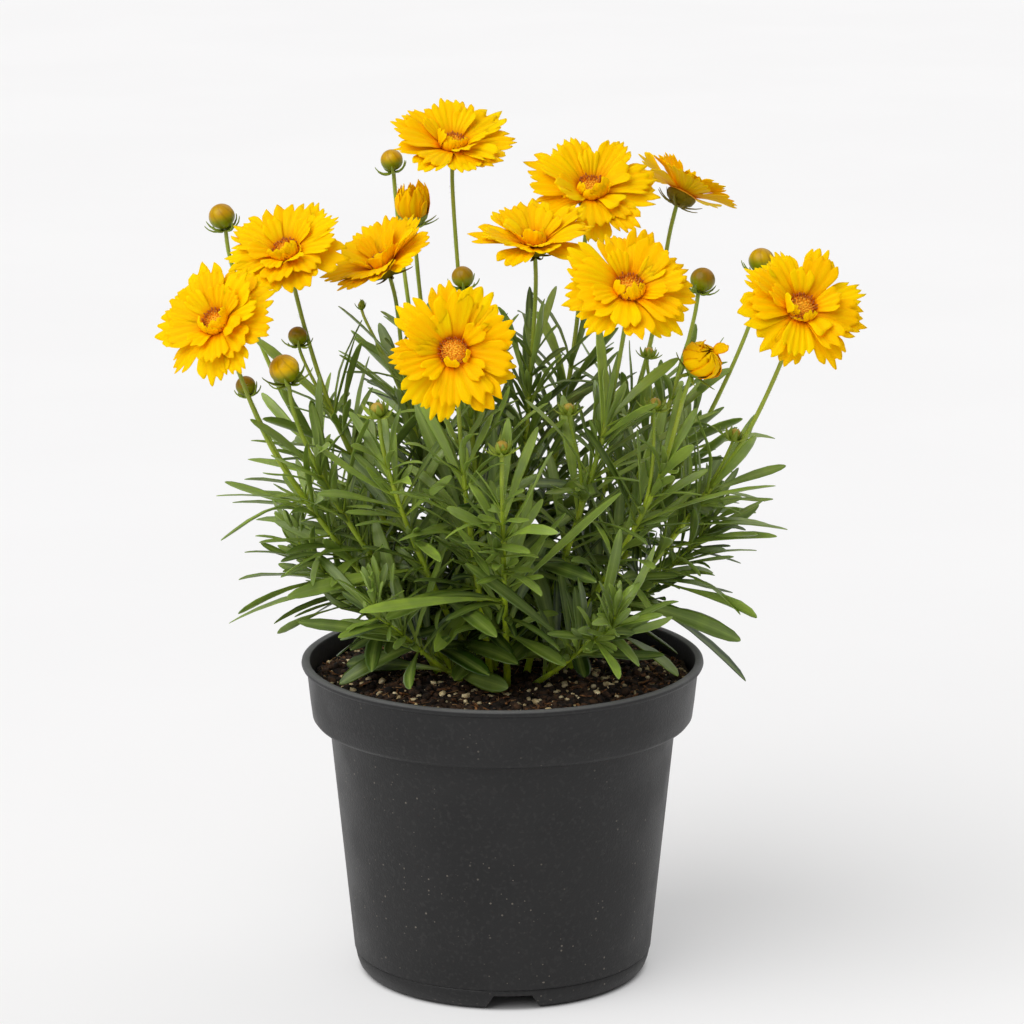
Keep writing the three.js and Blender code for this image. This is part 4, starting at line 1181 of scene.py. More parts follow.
def branch_line(stem, head, sway):
    """A branch leaves its stem along the stem, and bends over to its bud."""
    start, tip = point_on(stem, head["from"]), head["foot"]
    lean = tip - start
    reach = np.linalg.norm(lean) * BRANCH["rise"]
    rise = start + heading_on(stem, head["from"]) * reach + unit([-lean[1], lean[0], 0]) * sway
    neck = tip - unit(head["facing"]) * BRANCH["neck"]
    shares = np.linspace(0, 1, BRANCH_STEPS)[:, None]
    back = 1 - shares
    curve = start * back**3 + 3 * rise * back**2 * shares + 3 * neck * back * shares**2 + tip * shares**3
    return evenly(curve, BRANCH_POINTS)


def node_corners(node):
    return points_of(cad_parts[node]) / MM


def stem_foot(corners):
    """The middle of the solid's four lowest corners, each of which comes once for every face on it."""
    lowest = np.unique(corners[np.argsort(corners[:, 2])[:24]].round(3), axis=0)
    return lowest[np.argsort(lowest[:, 2])[:4]].mean(axis=0)


def misfit(line, corners, rod):
    """How far a line is from having a solid's square rings round it, in millimetres."""
    total = 0
    for share in rod["stations"]:
        away = np.sort(np.linalg.norm(corners - point_on(line, share), axis=1))[:3]
        total += np.abs(away - mix(rod["foot_radius"], rod["tip_radius"], share)).mean()
    return total / len(rod["stations"])


def fitted(node, lines, rod):
    """Of several lines, the one that a solid's rings stand round."""
    corners = node_corners(node)
    misfits = [misfit(line, corners, rod) for line in lines]
    best = int(np.argmin(misfits))
    print(node, "misfit", round(misfits[best], 3), "mm")
    return lines[best]


heads = [head for kind in (BLOOMS, OPENINGS, BUDS, GREEN_BUDS) for head in kind.values()]
stem_heads = [head for head in heads if "from" not in head]
for i, head in enumerate(stem_heads):
    head["on"] = f"{i + 1:02d}"
stem_ends = {head["on"]: (head["foot"], unit(head["facing"])) for head in stem_heads}
for number, tip in SHOOTS.items():
    stem_ends[number] = (np.array(tip, float), unit([tip[0] * SHOOT_LEAN, tip[1] * SHOOT_LEAN, 1]))

stem_lines = {}
for number, (tip, facing) in stem_ends.items():
    foot = stem_foot(node_corners("stem_" + number))
    lines = [stem_line(foot, tip, facing, sway) for sway in SWAYS]
    stem_lines[number] = fitted("stem_" + number, lines, STEM)
branch_lines = {number: [] for number in stem_lines}
for head in heads:
    if "from" in head:
        lines = [branch_line(stem_lines[head["on"]], head, sway) for sway in SWAYS]
        branch_lines[head["on"]].append(fitted("stem_" + head["on"], lines, BRANCH))

# %% [markdown]
# ## The stalks
#
# A stalk is a rod that follows a line, so it is drawn as a curve with a round section and a radius at each
# point, and then turned into a mesh. Slight swellings along it stand for its joints.

# %% Make the stalks
STALK_SIDES = 2
STALK_SLIM = 0.88
SHOOT_ROD = STEM | {"tip_radius": 0.35}
JOINT = {"swell": 0.09, "turns": 47, "narrow": 8}
STALK_COLOURS = {
    "low": rgb(0.54, 0.71, 0.02),
    "high": rgb(0.32, 0.385, 0.03),
    "blotch": rgb(0.25, 0.34, 0.02),
}
STALK_HEIGHTS = (0.13, 0.27)  # metres above the table


def radius_on(rod, share):
    return mix(rod["foot_radius"], rod["tip_radius"], min(1, share * 1.25)) * STALK_SLIM


def add_spline(curve, line, rod):
    spline = curve.splines.new("POLY")
    spline.points.add(len(line) - 1)
    for i, point in enumerate(line):
        share = i / (len(line) - 1)
        joint = 1 + JOINT["swell"] * math.sin(share * JOINT["turns"]) ** JOINT["narrow"]
        spline.points[i].co = (*(point * MM), 1)
        spline.points[i].radius = radius_on(rod, share) * joint


def make_stalk(number, line):
    curve = bpy.data.curves.new("stalk_" + number, "CURVE")
    curve.dimensions = "3D"
    curve.bevel_depth = MM
    curve.bevel_resolution = STALK_SIDES
    curve.use_fill_caps = True
    add_spline(curve, line[::2], SHOOT_ROD if number in SHOOTS else STEM)
    for branch in branch_lines[number]:
        add_spline(curve, branch[::2], BRANCH)
    select(add_object("stalk_" + number, curve))
    bpy.ops.object.convert(target="MESH")
    stalk = bpy.context.object
    smooth(stalk, SOFT)
    return stalk


def make_stalk_finish():
    """Paler low down, with fine ridges along the stalk."""
    material, tree, shader = new_finish("stalk_green", Roughness=0.45, **scatter(0.15, 0.4, 1.0, 0.15))
    place = object_place(tree)
    high = add_node(tree, "ShaderNodeSeparateXYZ", Vector=place).outputs["Z"]
    green = blend_colours(tree, ramp(tree, high, *STALK_HEIGHTS), STALK_COLOURS["low"], STALK_COLOURS["high"])
    colour, _ = mottled(tree, place, 60.0, green, STALK_COLOURS["blotch"])
    ridges = add_node(tree, "ShaderNodeMapping", Vector=place, Scale=(1.0, 1.0, 0.04))
    show(tree, shader, colour, grained(tree, ridges.outputs[0], 2600.0, 0.5))
    return material


STALK_FINISH = make_stalk_finish()
for number, line in stem_lines.items():
    put(make_stalk(number, line), STALK_FINISH, "stem", "stem_" + number)
print("stalks:", len(stem_lines))

# %% [markdown]
# ## Hairs on the stalks
#
# Coreopsis stalks carry sparse pale hairs, which give them a soft edge against the light. Each hair is a thin
# three-sided spike, the cheapest closed shape there is, and stands on the stalk's skin at a chance angle.

# %% Hairs
HAIR = {"length": (0.5, 1.4), "thick": 0.05, "gap": 0.55, "lean": 0.5, "sunk": 0.9, "bend": 0.3}
HAIRY = (0.1, 0.99)
HAIR_SEED = 41


def hair_master():
    deselect()
    along_x = {"location": (0.5, 0, 0), "rotation": (0, math.pi / 2, 0)}
    bpy.ops.mesh.primitive_cone_add(vertices=3, radius1=1, radius2=0, depth=1, **along_x)
    bpy.ops.object.transform_apply(location=True, rotation=True, scale=True)
    return master_of(bpy.context.object)


HAIR_MASTER = hair_master()


def hairs_on(line, rod, chance):
    steps = np.diff(line, axis=0)
    length = np.linalg.norm(steps, axis=1).sum()
    points = HAIR_MASTER["points"] * (1, HAIR["thick"], HAIR["thick"])
    copies = []
    for _ in range(int(length / HAIR["gap"])):
        share = chance.uniform(*HAIRY)
        heading = unit(steps[min(int(share * len(steps)), len(steps) - 1)])
        side = unit(np.cross(heading, [chance.gauss(0, 1) for _ in range(3)]))
        skin = point_on(line, share) + side * radius_on(rod, share) * HAIR["sunk"]
        out = unit(side + heading * chance.uniform(-HAIR["lean"], HAIR["lean"]))
        below = unit(heading - out * (heading @ out))
        hair = on_arc(points, skin, out, below, chance.uniform(*HAIR["length"]), HAIR["bend"])
        copies.append((HAIR_MASTER, hair, 0.5))
    return copies


def make_hairs():
    chance = random.Random(HAIR_SEED)
    copies = []
    for number, line in stem_lines.items():
        copies += hairs_on(line, STEM, chance)
        for branch in branch_lines[number]:
            copies += hairs_on(branch, BRANCH, chance)
    return gather("stalk_hairs", copies)


hairs = make_hairs()
hair_finish, _, _ = new_finish("pale_hair", Roughness=0.5, Base_Color=rgb(0.62, 0.68, 0.45))
put(hairs, hair_finish, "stem")
print("hairs:", len(hairs.data.polygons) // 4)

# %% [markdown]
# ## Reading the leaves from the frame
#
# Every leaf of the frame ends in a corner with three edges, which nothing else on a stem has. Its three
# neighbours are the leaf's left edge, right edge and keel. From the tip and that ring the leaf's whole arc
# can be worked out, since the ring stands at a known share of its length.

# %% Find the leaves
RING_SHARES = (0.8, 0.65)  # on a large leaf, and on a small one
SLIM = (0.8, 0.78)  # a finished leaf is slimmer than its solid: a little at the soil, more at the top
SLIM_HEIGHT = 75
HANGING = {
    "front": {"direction": (0, -1, 0), "past": 50, "height": 146, "shorter": 0.62},
    "left": {"direction": (-1, 0, 0), "past": 70, "height": 148, "shorter": 0.72},
    "right": {"direction": (1, 0, 0), "past": 115, "height": 205, "shorter": 0.78},
}
LEAF_TIP = np.array([(1.0, 0.0, 0.0)])


def corner_links(node):
    """The corners of a node once those at one place are merged, and each corner's neighbours."""
    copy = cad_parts[node].copy()
    copy.data = copy.data.copy()
    bpy.context.scene.collection.objects.link(copy)
    copy.parent = None
    copy.hide_viewport = False
    edit(copy)
    bpy.ops.mesh.remove_doubles(threshold=0.002 * MM)
    bpy.ops.object.mode_set(mode="OBJECT")
    points = points_of(copy) / MM
    links = [set() for _ in points]
    for edge in copy.data.edges:
        a, b = edge.vertices
        links[a].add(b)
        links[b].add(a)
    bpy.data.objects.remove(copy)
    return points, links


def split_ring(points, ring):
    """The two edges of a leaf's ring, which stand furthest apart, and its keel."""
    pairs = [(a, b) for a in ring for b in ring if a < b]
    left, right = max(pairs, key=lambda pair: np.linalg.norm(points[pair[0]] - points[pair[1]]))
    (keel,) = set(ring) - {left, right}
    return points[left], points[right], points[keel]


def end_of_leaf(points, links, tip):
    """A leaf's last stretch, from its ring to its tip."""
    left, right, keel = split_ring(points, links[tip])
    middle = (left + right) / 2
    below = unit(keel - middle)
    chord = points[tip] - middle
    heading = unit(np.cross(below, unit(right - left)))
    heading *= np.sign(heading @ chord)
    return {
        "middle": middle,
        "heading": heading,
        "below": below,
        "half": np.linalg.norm(right - left) / 2,
        "reach": np.linalg.norm(chord),
        "half_turn": math.atan2(chord @ below, chord @ heading),
    }


def whole_leaf(end, ring_share):
    """The leaf's arc, followed back from its ring to its root."""
    rest = 1 - ring_share
    bend = 2 * end["half_turn"] / rest
    half_turn = not_straight(end["half_turn"])
    length = end["reach"] * half_turn / math.sin(half_turn) / rest
    angle = -bend * ring_share
    heading = end["heading"] * math.cos(angle) + end["below"] * math.sin(angle)
    below = end["below"] * math.cos(angle) - end["heading"] * math.sin(angle)
    leaf = {"heading": heading, "below": below, "length": length, "bend": bend, "half": end["half"]}
    leaf["root"] = end["middle"] - on_arc(LEAF_TIP * ring_share, 0, heading, below, length, bend)[0]
    return leaf


def on_leaf(points, leaf):
    return on_arc(points, leaf["root"], leaf["heading"], leaf["below"], leaf["length"], leaf["bend"])


def away_from_line(line, point):
    """How far a point is from the nearest stretch of a line."""
    start, step = line[:-1], np.diff(line, axis=0)
    share = np.clip(((point - start) * step).sum(axis=1) / (step**2).sum(axis=1), 0, 1)
    return np.linalg.norm(start + step * share[:, None] - point, axis=1).min()


def trimmed(leaf):
    """A leaf made slimmer, and shorter where it would hang low outside the pot."""
    leaf["half"] *= mix(*SLIM, share_between(leaf["root"][2], SOIL["level"], SOIL["level"] + SLIM_HEIGHT))
    tip = on_leaf(LEAF_TIP, leaf)[0]
    for side in HANGING.values():
        if tip @ side["direction"] > side["past"] and tip[2] < side["height"]:
            leaf["length"] *= side["shorter"]
            leaf["bend"] *= side["shorter"]
            break
    return leaf


def frame_leaves(number):
    points, links = corner_links("stem_" + number)
    lines = [stem_lines[number], *branch_lines[number]]
    leaves = []
    for tip, around in enumerate(links):
        if len(around) == 3:
            end = end_of_leaf(points, links, tip)
            choices = [whole_leaf(end, share) for share in RING_SHARES]
            for leaf in choices:
                leaf["off"] = min(away_from_line(line, leaf["root"]) for line in lines)
            leaves.append(trimmed(min(choices, key=lambda leaf: leaf["off"])))
    return leaves


leaves_found = {number: frame_leaves(number) for number in stem_lines}
offs = [leaf["off"] for leaves in leaves_found.values() for leaf in leaves]
print("leaves found:", len(offs), "with roots off by at most", round(max(offs), 2), "mm")

# %% [markdown]
# ## More leaves
#
# The frame carries the leaves that make the plant's outline. A real clump is several times as full, so more
# are grown on the same stems: a pair at each joint, square to the last pair, and a tuft of small ones where
# they meet the stem, fuller on the young shoots. They are narrower and more upright towards the top, and stay
# in the clump's dome. The tip of a shoot is closed by its youngest leaves.

# %% Grow more leaves
DOME = {"radius": 98, "height": 138, "power": 3}
SKIRT = {"gap": 3, "slope": 0.3}
BLOOM_REACH = 27
ALONG_LEAF = np.array([(share, 0, 0) for share in (0.3, 0.6, 0.8, 1.0)])
SHAPES = [
    {"length": 42, "half": 3.4, "spread": 58, "bend": 46},
    {"length": 50, "half": 2.5, "spread": 42, "bend": 30},
    {"length": 43, "half": 2.4, "spread": 31, "bend": 16},
]
JOINTS = {"first": 18, "step": 8.5, "uneven": (0.7, 1.3), "pair": (0.6, 1.0), "tuft": (0.2, 0.65)}
TUFT_LEAVES = {"flowering": 3, "shoot": 7}
CROWN = {"leaves": 10, "from": 0.9}
CROWN_SHAPES = {"length": (8, 21), "half": (0.9, 2.0), "spread": (5, 38), "bend": (-8, 22)}
LEAF_THICK = 0.36
LEAF_CHANCE = {
    "azimuth": (0, 0.35),
    "spread": (0, 12),
    "bend": (0, 18),
    "twist": (0, 0.5),
    "fold": (0.05, 0.3),
    "ripple": (0, 0.9),
    "ripples": (3, 7),
    "swerve": (0, 2.4),
    "tone": (-0.17, 0.18),
}
# How a leaf's tone paints light: lighter with its height and its distance out, up to a most.
LEAF_LIGHT_AND_TONE = {"high": 0.45, "out": 0.55, "most": 0.7}
NARROWEST = 0.45
TOP_FROM = 1.4  # the uppermost kind of leaf is reached at 1 / 1.4 of the stem
SPOON_HALF = 2.9  # a leaf that is wider than this is a spoon, and a narrower one is a strap
ASKEW = (0.31, 0.95, 0.02)  # a direction that no stem runs in, from which azimuths are counted


def inside_dome(point):
    out = math.hypot(point[0], point[1]) / DOME["radius"]
    high = (point[2] - SOIL["level"]) / DOME["height"]
    return out ** DOME["power"] + high ** DOME["power"] < 1


def shape_at(high):
    """The usual shape of a leaf that grows at this share of its stem."""
    low = min(int(high * 2), 1)
    share = high * 2 - low
    return {key: mix(SHAPES[low][key], SHAPES[low + 1][key], share) for key in SHAPES[0]}


def has_room(leaf):
    """A leaf may not reach below the clump's skirt, which rises outwards, or up into a bloom."""
    line = on_leaf(ALONG_LEAF, leaf)
    skirt = SOIL["level"] + SKIRT["gap"] + SKIRT["slope"] * np.hypot(line[:, 0], line[:, 1])
    if (line[:, 2] < skirt).any():
        return False
    away = {number: np.linalg.norm(line[-1] - head["at"]) for number, head in BLOOMS.items()}
    return all(away[number] > BLOOM_REACH * head["size"] for number, head in BLOOMS.items())


def sprout(point, heading, azimuth, shape, size, chance):
    """A leaf that leaves its stem on a side given by its azimuth."""
    across = unit(np.cross(heading, ASKEW))
    side = across * math.cos(azimuth) + np.cross(heading, across) * math.sin(azimuth)
    spread = math.radians(shape["spread"] + chance.gauss(*LEAF_CHANCE["spread"]))
    return {
        "root": point,
        "heading": heading * math.cos(spread) + side * math.sin(spread),
        "below": side * math.cos(spread) - heading * math.sin(spread),
        "length": shape["length"] * size,
        "bend": math.radians(shape["bend"] + chance.gauss(*LEAF_CHANCE["bend"])),
        "half": shape["half"] * mix(NARROWEST, 1, size),
    }


def joint_leaves(line, tuft_leaves, chance):
    """At each joint of a stem: a pair of leaves, each pair square to the last, and a tuft of small ones."""
    length = np.linalg.norm(np.diff(line, axis=0), axis=1).sum()
    along = JOINTS["first"] + chance.uniform(0, JOINTS["step"])
    level = 0
    leaves = []
    while along < length - STEM["neck"]:
        share = along / length
        point = point_on(line, share)
        if not inside_dome(point):
            break
        heading = heading_on(line, share)
        shape = shape_at(min(1, share * TOP_FROM))
        for half_turn in (0, math.pi):
            azimuth = math.pi / 4 + level * math.pi / 2 + half_turn + chance.gauss(*LEAF_CHANCE["azimuth"])
            leaves.append(sprout(point, heading, azimuth, shape, chance.uniform(*JOINTS["pair"]), chance))
        for _ in range(tuft_leaves):
            azimuth = chance.uniform(0, 2 * math.pi)
            leaves.append(sprout(point, heading, azimuth, shape, chance.uniform(*JOINTS["tuft"]), chance))
        level += 1
        along += JOINTS["step"] * chance.uniform(*JOINTS["uneven"])
    return [leaf for leaf in leaves if has_room(leaf)]


def crown_leaves(line, chance):
    """The young leaves that close the tip of a shoot, the topmost the shortest and most upright."""
    heading = unit(line[-1] - line[-3])
    leaves = []
    for i in range(CROWN["leaves"]):
        share = i / (CROWN["leaves"] - 1)
        shape = {key: mix(*ends, share) for key, ends in CROWN_SHAPES.items()}
        root = point_on(line, mix(1, CROWN["from"], share))
        leaves.append(sprout(root, heading, i * GOLDEN_ANGLE, shape, 1, chance))
    return leaves


def lay_leaf(leaf, chance):
    """One leaf on its arc, with a twist, a fold, a ripple and a swerve of its own."""
    usual = LEAF_CHANCE
    master = SPOON if leaf["half"] > SPOON_HALF else STRAP
    along, across, high = master["points"].T
    twist = chance.gauss(*usual["twist"]) * along
    wide = across * leaf["half"]
    fold = np.abs(wide) * chance.uniform(*usual["fold"])
    ripple = chance.gauss(*usual["ripple"]) * np.sin(along * chance.uniform(*usual["ripples"])) * along
    up = high * LEAF_THICK + fold + ripple
    swerve = chance.gauss(*usual["swerve"]) * along**2
    across = wide * np.cos(twist) - up * np.sin(twist) + swerve
    high = wide * np.sin(twist) + up * np.cos(twist)
    return master, on_leaf(np.column_stack([along, across, high]), leaf)


def leaf_light_and_tone(leaf, chance):
    """Painted light and shade: lighter high up and outside in the clump, darker inside, with some tone at
    random.
    """
    middle = leaf["root"] + leaf["heading"] * leaf["length"] / 2
    high = (middle[2] - SOIL["level"]) / DOME["height"]
    out = math.hypot(middle[0], middle[1]) / DOME["radius"]
    tone = LEAF_LIGHT_AND_TONE["high"] * high + LEAF_LIGHT_AND_TONE["out"] * out + chance.gauss(*LEAF_CHANCE["tone"])
    return min(LEAF_LIGHT_AND_TONE["most"], max(0, tone))


def leaf_copy(leaf, chance):
    return (*lay_leaf(leaf, chance), leaf_light_and_tone(leaf, chance))


def leaves_on(number, chance):
    line = stem_lines[number]
    kind = "shoot" if number in SHOOTS else "flowering"
    leaves = leaves_found[number] + joint_leaves(line, TUFT_LEAVES[kind], chance)
    return leaves + crown_leaves(line, chance) if kind == "shoot" else leaves


print("usual lengths of leaves, going up a stem:", [shape["length"] for shape in SHAPES], "mm")

# %% Leaf finish
LEAF = {
    "shaded": rgb(0.017, 0.045, 0.001),
    "sunlit": rgb(0.325, 0.46, 0.058),
    "underside": rgb(0.2, 0.27, 0.06),
    "root": rgb(0.3, 0.4, 0.02),
    "rib": rgb(0.27, 0.37, 0.07),
    "edge": rgb(0.27, 0.36, 0.1),
    "darker": rgb(0.85, 0.86, 0.88),
    "lighter": rgb(1.15, 1.12, 1.0),
}


def make_leaf_finish():
    """Painted light and shade by the leaf's tone, and paler below, at its root, along its rib and at its
    edges.
    """
    glow = scatter(0.1, 0.5, 1.0, 0.1)
    material, tree, shader = new_finish("leaf_green", Roughness=0.38, Specular_IOR_Level=0.5, **glow)
    along, across, upper = blade_of(tree)
    off_rib = math_of(tree, "ABSOLUTE", across)
    green = tinted(
        tree,
        # Painted light: the tone runs from the shaded green inside the clump to the sunlit green at its top
        # and outside.
        blend_colours(tree, tone_of(tree), LEAF["shaded"], LEAF["sunlit"]),
        (ramp(tree, upper, 0.6, 0.4, 0.4), LEAF["underside"]),
        (ramp(tree, along, 0.35, 0.0, 0.7), LEAF["root"]),
        (ramp(tree, off_rib, 0.13, 0.03, 0.36), LEAF["rib"]),
        (ramp(tree, off_rib, 0.8, 1.0, 0.25), LEAF["edge"]),
    )
    patches, _ = mottled(tree, object_place(tree), 90.0, LEAF["darker"], LEAF["lighter"])
    colour = blend_colours(tree, 1.0, green, patches, "MULTIPLY")
    veins = veins_of(tree, times(tree, along, 3.0), times(tree, across, 9.0))
    show(tree, shader, colour, bump_of(tree, veins, 0.3, 0.2))
    return material


LEAF_FINISH = make_leaf_finish()
leaf_total = 0
for number in stem_lines:
    chance = chance_of("leaves", number)
    leaves = leaves_on(number, chance)
    leaf_total += len(leaves)
    piece = gather("leaves_" + number, [leaf_copy(leaf, chance) for leaf in leaves])
    put(piece, LEAF_FINISH, "stem", "stem_" + number)
print("leaves on the plant:", leaf_total)

# %% [markdown]
# ## The green cups
#
# Under each bloom sits a calyx: a shallow cup with eight broad bracts pressed against the petals, and eight
# narrow ones that spread from its foot and curl up. The cup is spun, and the bracts are copies of a master.

# %% Cups and bracts
CUP_OUTLINE = [
    (0, -0.5), (1.1, -0.5), (2.0, 0.0), (4.4, 0.9), (6.2, 2.3), (7.2, 4.0), (7.5, 5.4), (7.2, 6.0), (0, 6.2),
]  # fmt: skip
CUP_TONE = 0.2
CALYX = {"dark": rgb(0.17, 0.125, 0.001), "light": rgb(0.22, 0.19, 0.006), "tip": rgb(0.22, 0.15, 0.004)}
BRACT_CHANCE = {"turn": (0, 0.07), "length": (0.85, 1.1), "start": (0, 6), "bend": (0, 10)}
CUP_BRACTS = [
    {"count": 8, "turn": 0.0, "root": 5.9, "level": 2.1, "length": 4.6, "half": 3.0, "thick": 0.15,
     "start": 58, "bend": 20},
    {"count": 8, "turn": 0.5, "root": 1.6, "level": 0.2, "length": 11.5, "half": 0.95, "thick": 0.35,
     "start": -6, "bend": 44},
]  # fmt: skip


def bract_rings(head, chance, rings, size=1):
    """Rings of bracts that leave the axis at an angle from level, and turn up by their bend. Their places,
    lengths and half widths are in millimetres, or shares of a bud's size."""
    copies = []
    for ring in rings:
        for i in range(ring["count"]):
            angle = 2 * math.pi * (i + ring["turn"]) / ring["count"] + chance.gauss(*BRACT_CHANCE["turn"])
            length = ring["length"] * size * chance.uniform(*BRACT_CHANCE["length"])
            rise = math.radians(ring["start"] + chance.gauss(*BRACT_CHANCE["start"]))
            bend = math.radians(-ring["bend"] - chance.gauss(*BRACT_CHANCE["bend"]))
            root = outward(angle) * ring["root"] * size + UP * ring["level"] * size
            flat = BRACT["points"] * (1, ring["half"] * size, ring["thick"])
            points = raised(flat, root, angle, rise, length, bend)
            copies.append((BRACT, in_place(head, points), chance.random()))
    return copies


def make_cup_finish(name, colours):
    material, tree, shader = new_finish(name, Roughness=0.5, Specular_IOR_Level=0.1)
    base = blend_colours(tree, tone_of(tree), colours["dark"], colours["light"])
    colour = tinted(tree, base, (ramp(tree, blade_of(tree)[0], 0.6, 1.0, 0.5), colours["tip"]))
    show(tree, shader, colour, grained(tree, object_place(tree), 1400.0, 0.25))
    return material


CUP = spun_master(CUP_OUTLINE)
CUP_FINISH = make_cup_finish("calyx_green", CALYX)
for number, head in BLOOMS.items():
    chance = chance_of("cup", number)
    cup = (CUP, in_place(head, CUP["points"]), CUP_TONE)
    piece = gather("bloom_cup_" + number, [cup, *bract_rings(head, chance, CUP_BRACTS)])
    put(piece, CUP_FINISH, "stem", "stem_" + head["on"])
print("cups:", len(BLOOMS))

# %% [markdown]
# ## Buds
#
# A bud is a ball of eight broad bracts that close over one another, seamed like a peeled orange, with thin
# bracts standing round it. The ball is a sphere, pressed in along its seams and flattened a little, more so
# below. A small green bud is mostly bracts: two rings of them stand round a small ball.

# %% Round buds
BALL = {"segments": 40, "rings": 20, "lobes": 8, "twist": 0.5, "below": 0.92, "above": 0.98}
BALL_SEAM = {"depth": 0.035, "narrow": 9, "poles": 0.05}
BALL_TONE = 0.4
BUD_BRACTS = [
    {"count": 8, "turn": 0.0, "root": 0.2, "level": 0.02, "length": 1.7, "half": 0.19, "thick": 0.4,
     "start": -12, "bend": 84},
]  # fmt: skip
GREEN_BRACTS = [
    {"count": 8, "turn": 0.0, "root": 0.3, "level": 0.02, "length": 2.2, "half": 0.42, "thick": 0.3,
     "start": 2, "bend": 62},
    {"count": 7, "turn": 0.5, "root": 0.3, "level": 0.05, "length": 1.75, "half": 0.4, "thick": 0.25,
     "start": 40, "bend": 62},
]  # fmt: skip
BUD_LIFT = 1.04
GREEN_BALL = {"size": 0.76, "lift": 1.08}
SEAM = rgb(0.2, 0.09, 0.002)
BRACT_GREEN = {"dark": rgb(0.18, 0.25, 0.02), "light": rgb(0.32, 0.4, 0.05), "tip": rgb(0.24, 0.3, 0.08)}
OLIVE = {
    "foot": rgb(0.21, 0.24, 0.002),
    "young": rgb(0.09, 0.068, 0.0),
    "ripe": rgb(0.88, 0.52, 0.0),
    "crown": rgb(0.38, 0.15, 0.0),
}
YOUNG_GREEN = {
    "foot": rgb(0.22, 0.3, 0.01),
    "young": rgb(0.34, 0.28, 0.03),
    "ripe": rgb(0.5, 0.38, 0.06),
    "crown": rgb(0.5, 0.27, 0.04),
}


def ball_master():
    deselect()
    bpy.ops.mesh.primitive_uv_sphere_add(segments=BALL["segments"], ring_count=BALL["rings"], radius=1)
    ball = bpy.context.object
    points = points_of(ball)
    high = points[:, 2]
    lobe = np.cos((np.arctan2(points[:, 1], points[:, 0]) + BALL["twist"] * high) * BALL["lobes"] / 2)
    girth = np.sqrt(1 - np.clip(high, -1, 1) ** 2 + BALL_SEAM["poles"])
    seam = 1 - BALL_SEAM["depth"] * np.abs(lobe) ** BALL_SEAM["narrow"] * girth
    flat = np.column_stack([(high + 1) / 2, lobe, np.ones(len(points))])
    shaped = points * np.column_stack([seam, seam, np.where(high > 0, BALL["above"], BALL["below"])])
    return master_of(ball, flat) | {"points": shaped}


BALL_MASTER = ball_master()


def bud_ball(name, head, radius, lift):
    points = BALL_MASTER["points"] * radius + UP * radius * lift
    return gather(name, [(BALL_MASTER, in_place(head, points), head.get("ripe", BALL_TONE))])


def make_bud_finish(name, colours):
    """A bud goes from green at its foot to its own colour, which is riper where its tone is higher."""
    material, tree, shader = new_finish(name, Roughness=0.3, Specular_IOR_Level=0.2)
    place = object_place(tree)
    high, lobe, _ = blade_of(tree)
    body = blend_colours(tree, tone_of(tree), colours["young"], colours["ripe"])
    patches, _ = mottled(tree, place, 260.0, body, blend_colours(tree, 0.4, body, colours["crown"]))
    crowned = tinted(tree, patches, (ramp(tree, high, 0.8, 1.0, 0.35), colours["crown"]))
    footed = blend_colours(tree, ramp(tree, high, 0.34, 0.76), colours["foot"], crowned)
    seams = ramp(tree, math_of(tree, "ABSOLUTE", lobe), 0.86, 1.0, 0.3)
    show(tree, shader, tinted(tree, footed, (seams, SEAM)), grained(tree, place, 1300.0, 0.15))
    return material


BUD_FINISH = make_bud_finish("bud_olive", OLIVE)
GREEN_FINISH = make_bud_finish("green_bud", YOUNG_GREEN)
BRACT_FINISH = make_cup_finish("bract_green", BRACT_GREEN)
for number, head in BUDS.items():
    radius, stem = head["radius"], "stem_" + head["on"]
    bracts = bract_rings(head, chance_of("bud", number), BUD_BRACTS, radius)
    put(bud_ball("bud_ball_" + number, head, radius, BUD_LIFT), BUD_FINISH, "bud", "bud_" + number)
    put(gather("bud_bracts_" + number, bracts), BRACT_FINISH, "stem", stem)
for number, head in GREEN_BUDS.items():
    radius, stem = head["radius"], "stem_" + head["on"]
    outer, inner = GREEN_BRACTS
    rings = [outer | {"start": head.get("shut", outer["start"])}, inner]
    bracts = bract_rings(head, chance_of("green bud", number), rings, radius)
    ball = bud_ball("green_ball_" + number, head, radius * GREEN_BALL["size"], GREEN_BALL["lift"])
    put(ball, GREEN_FINISH, "stem", stem)
    put(gather("green_bracts_" + number, bracts), BRACT_FINISH, "stem", stem)
print("buds:", len(BUDS), "and", len(GREEN_BUDS), "green ones")

# %% [markdown]
# ## Blooms still opening
#
# An opening bloom is a cup of upright petals, wrapped round the axis and folded over each other, and a free
# petal or two already stands away from it. The first is a crown of pointed petals, and the second a ball of
# round ones in a swirl. The same petal masters are wrapped round instead of laid out.

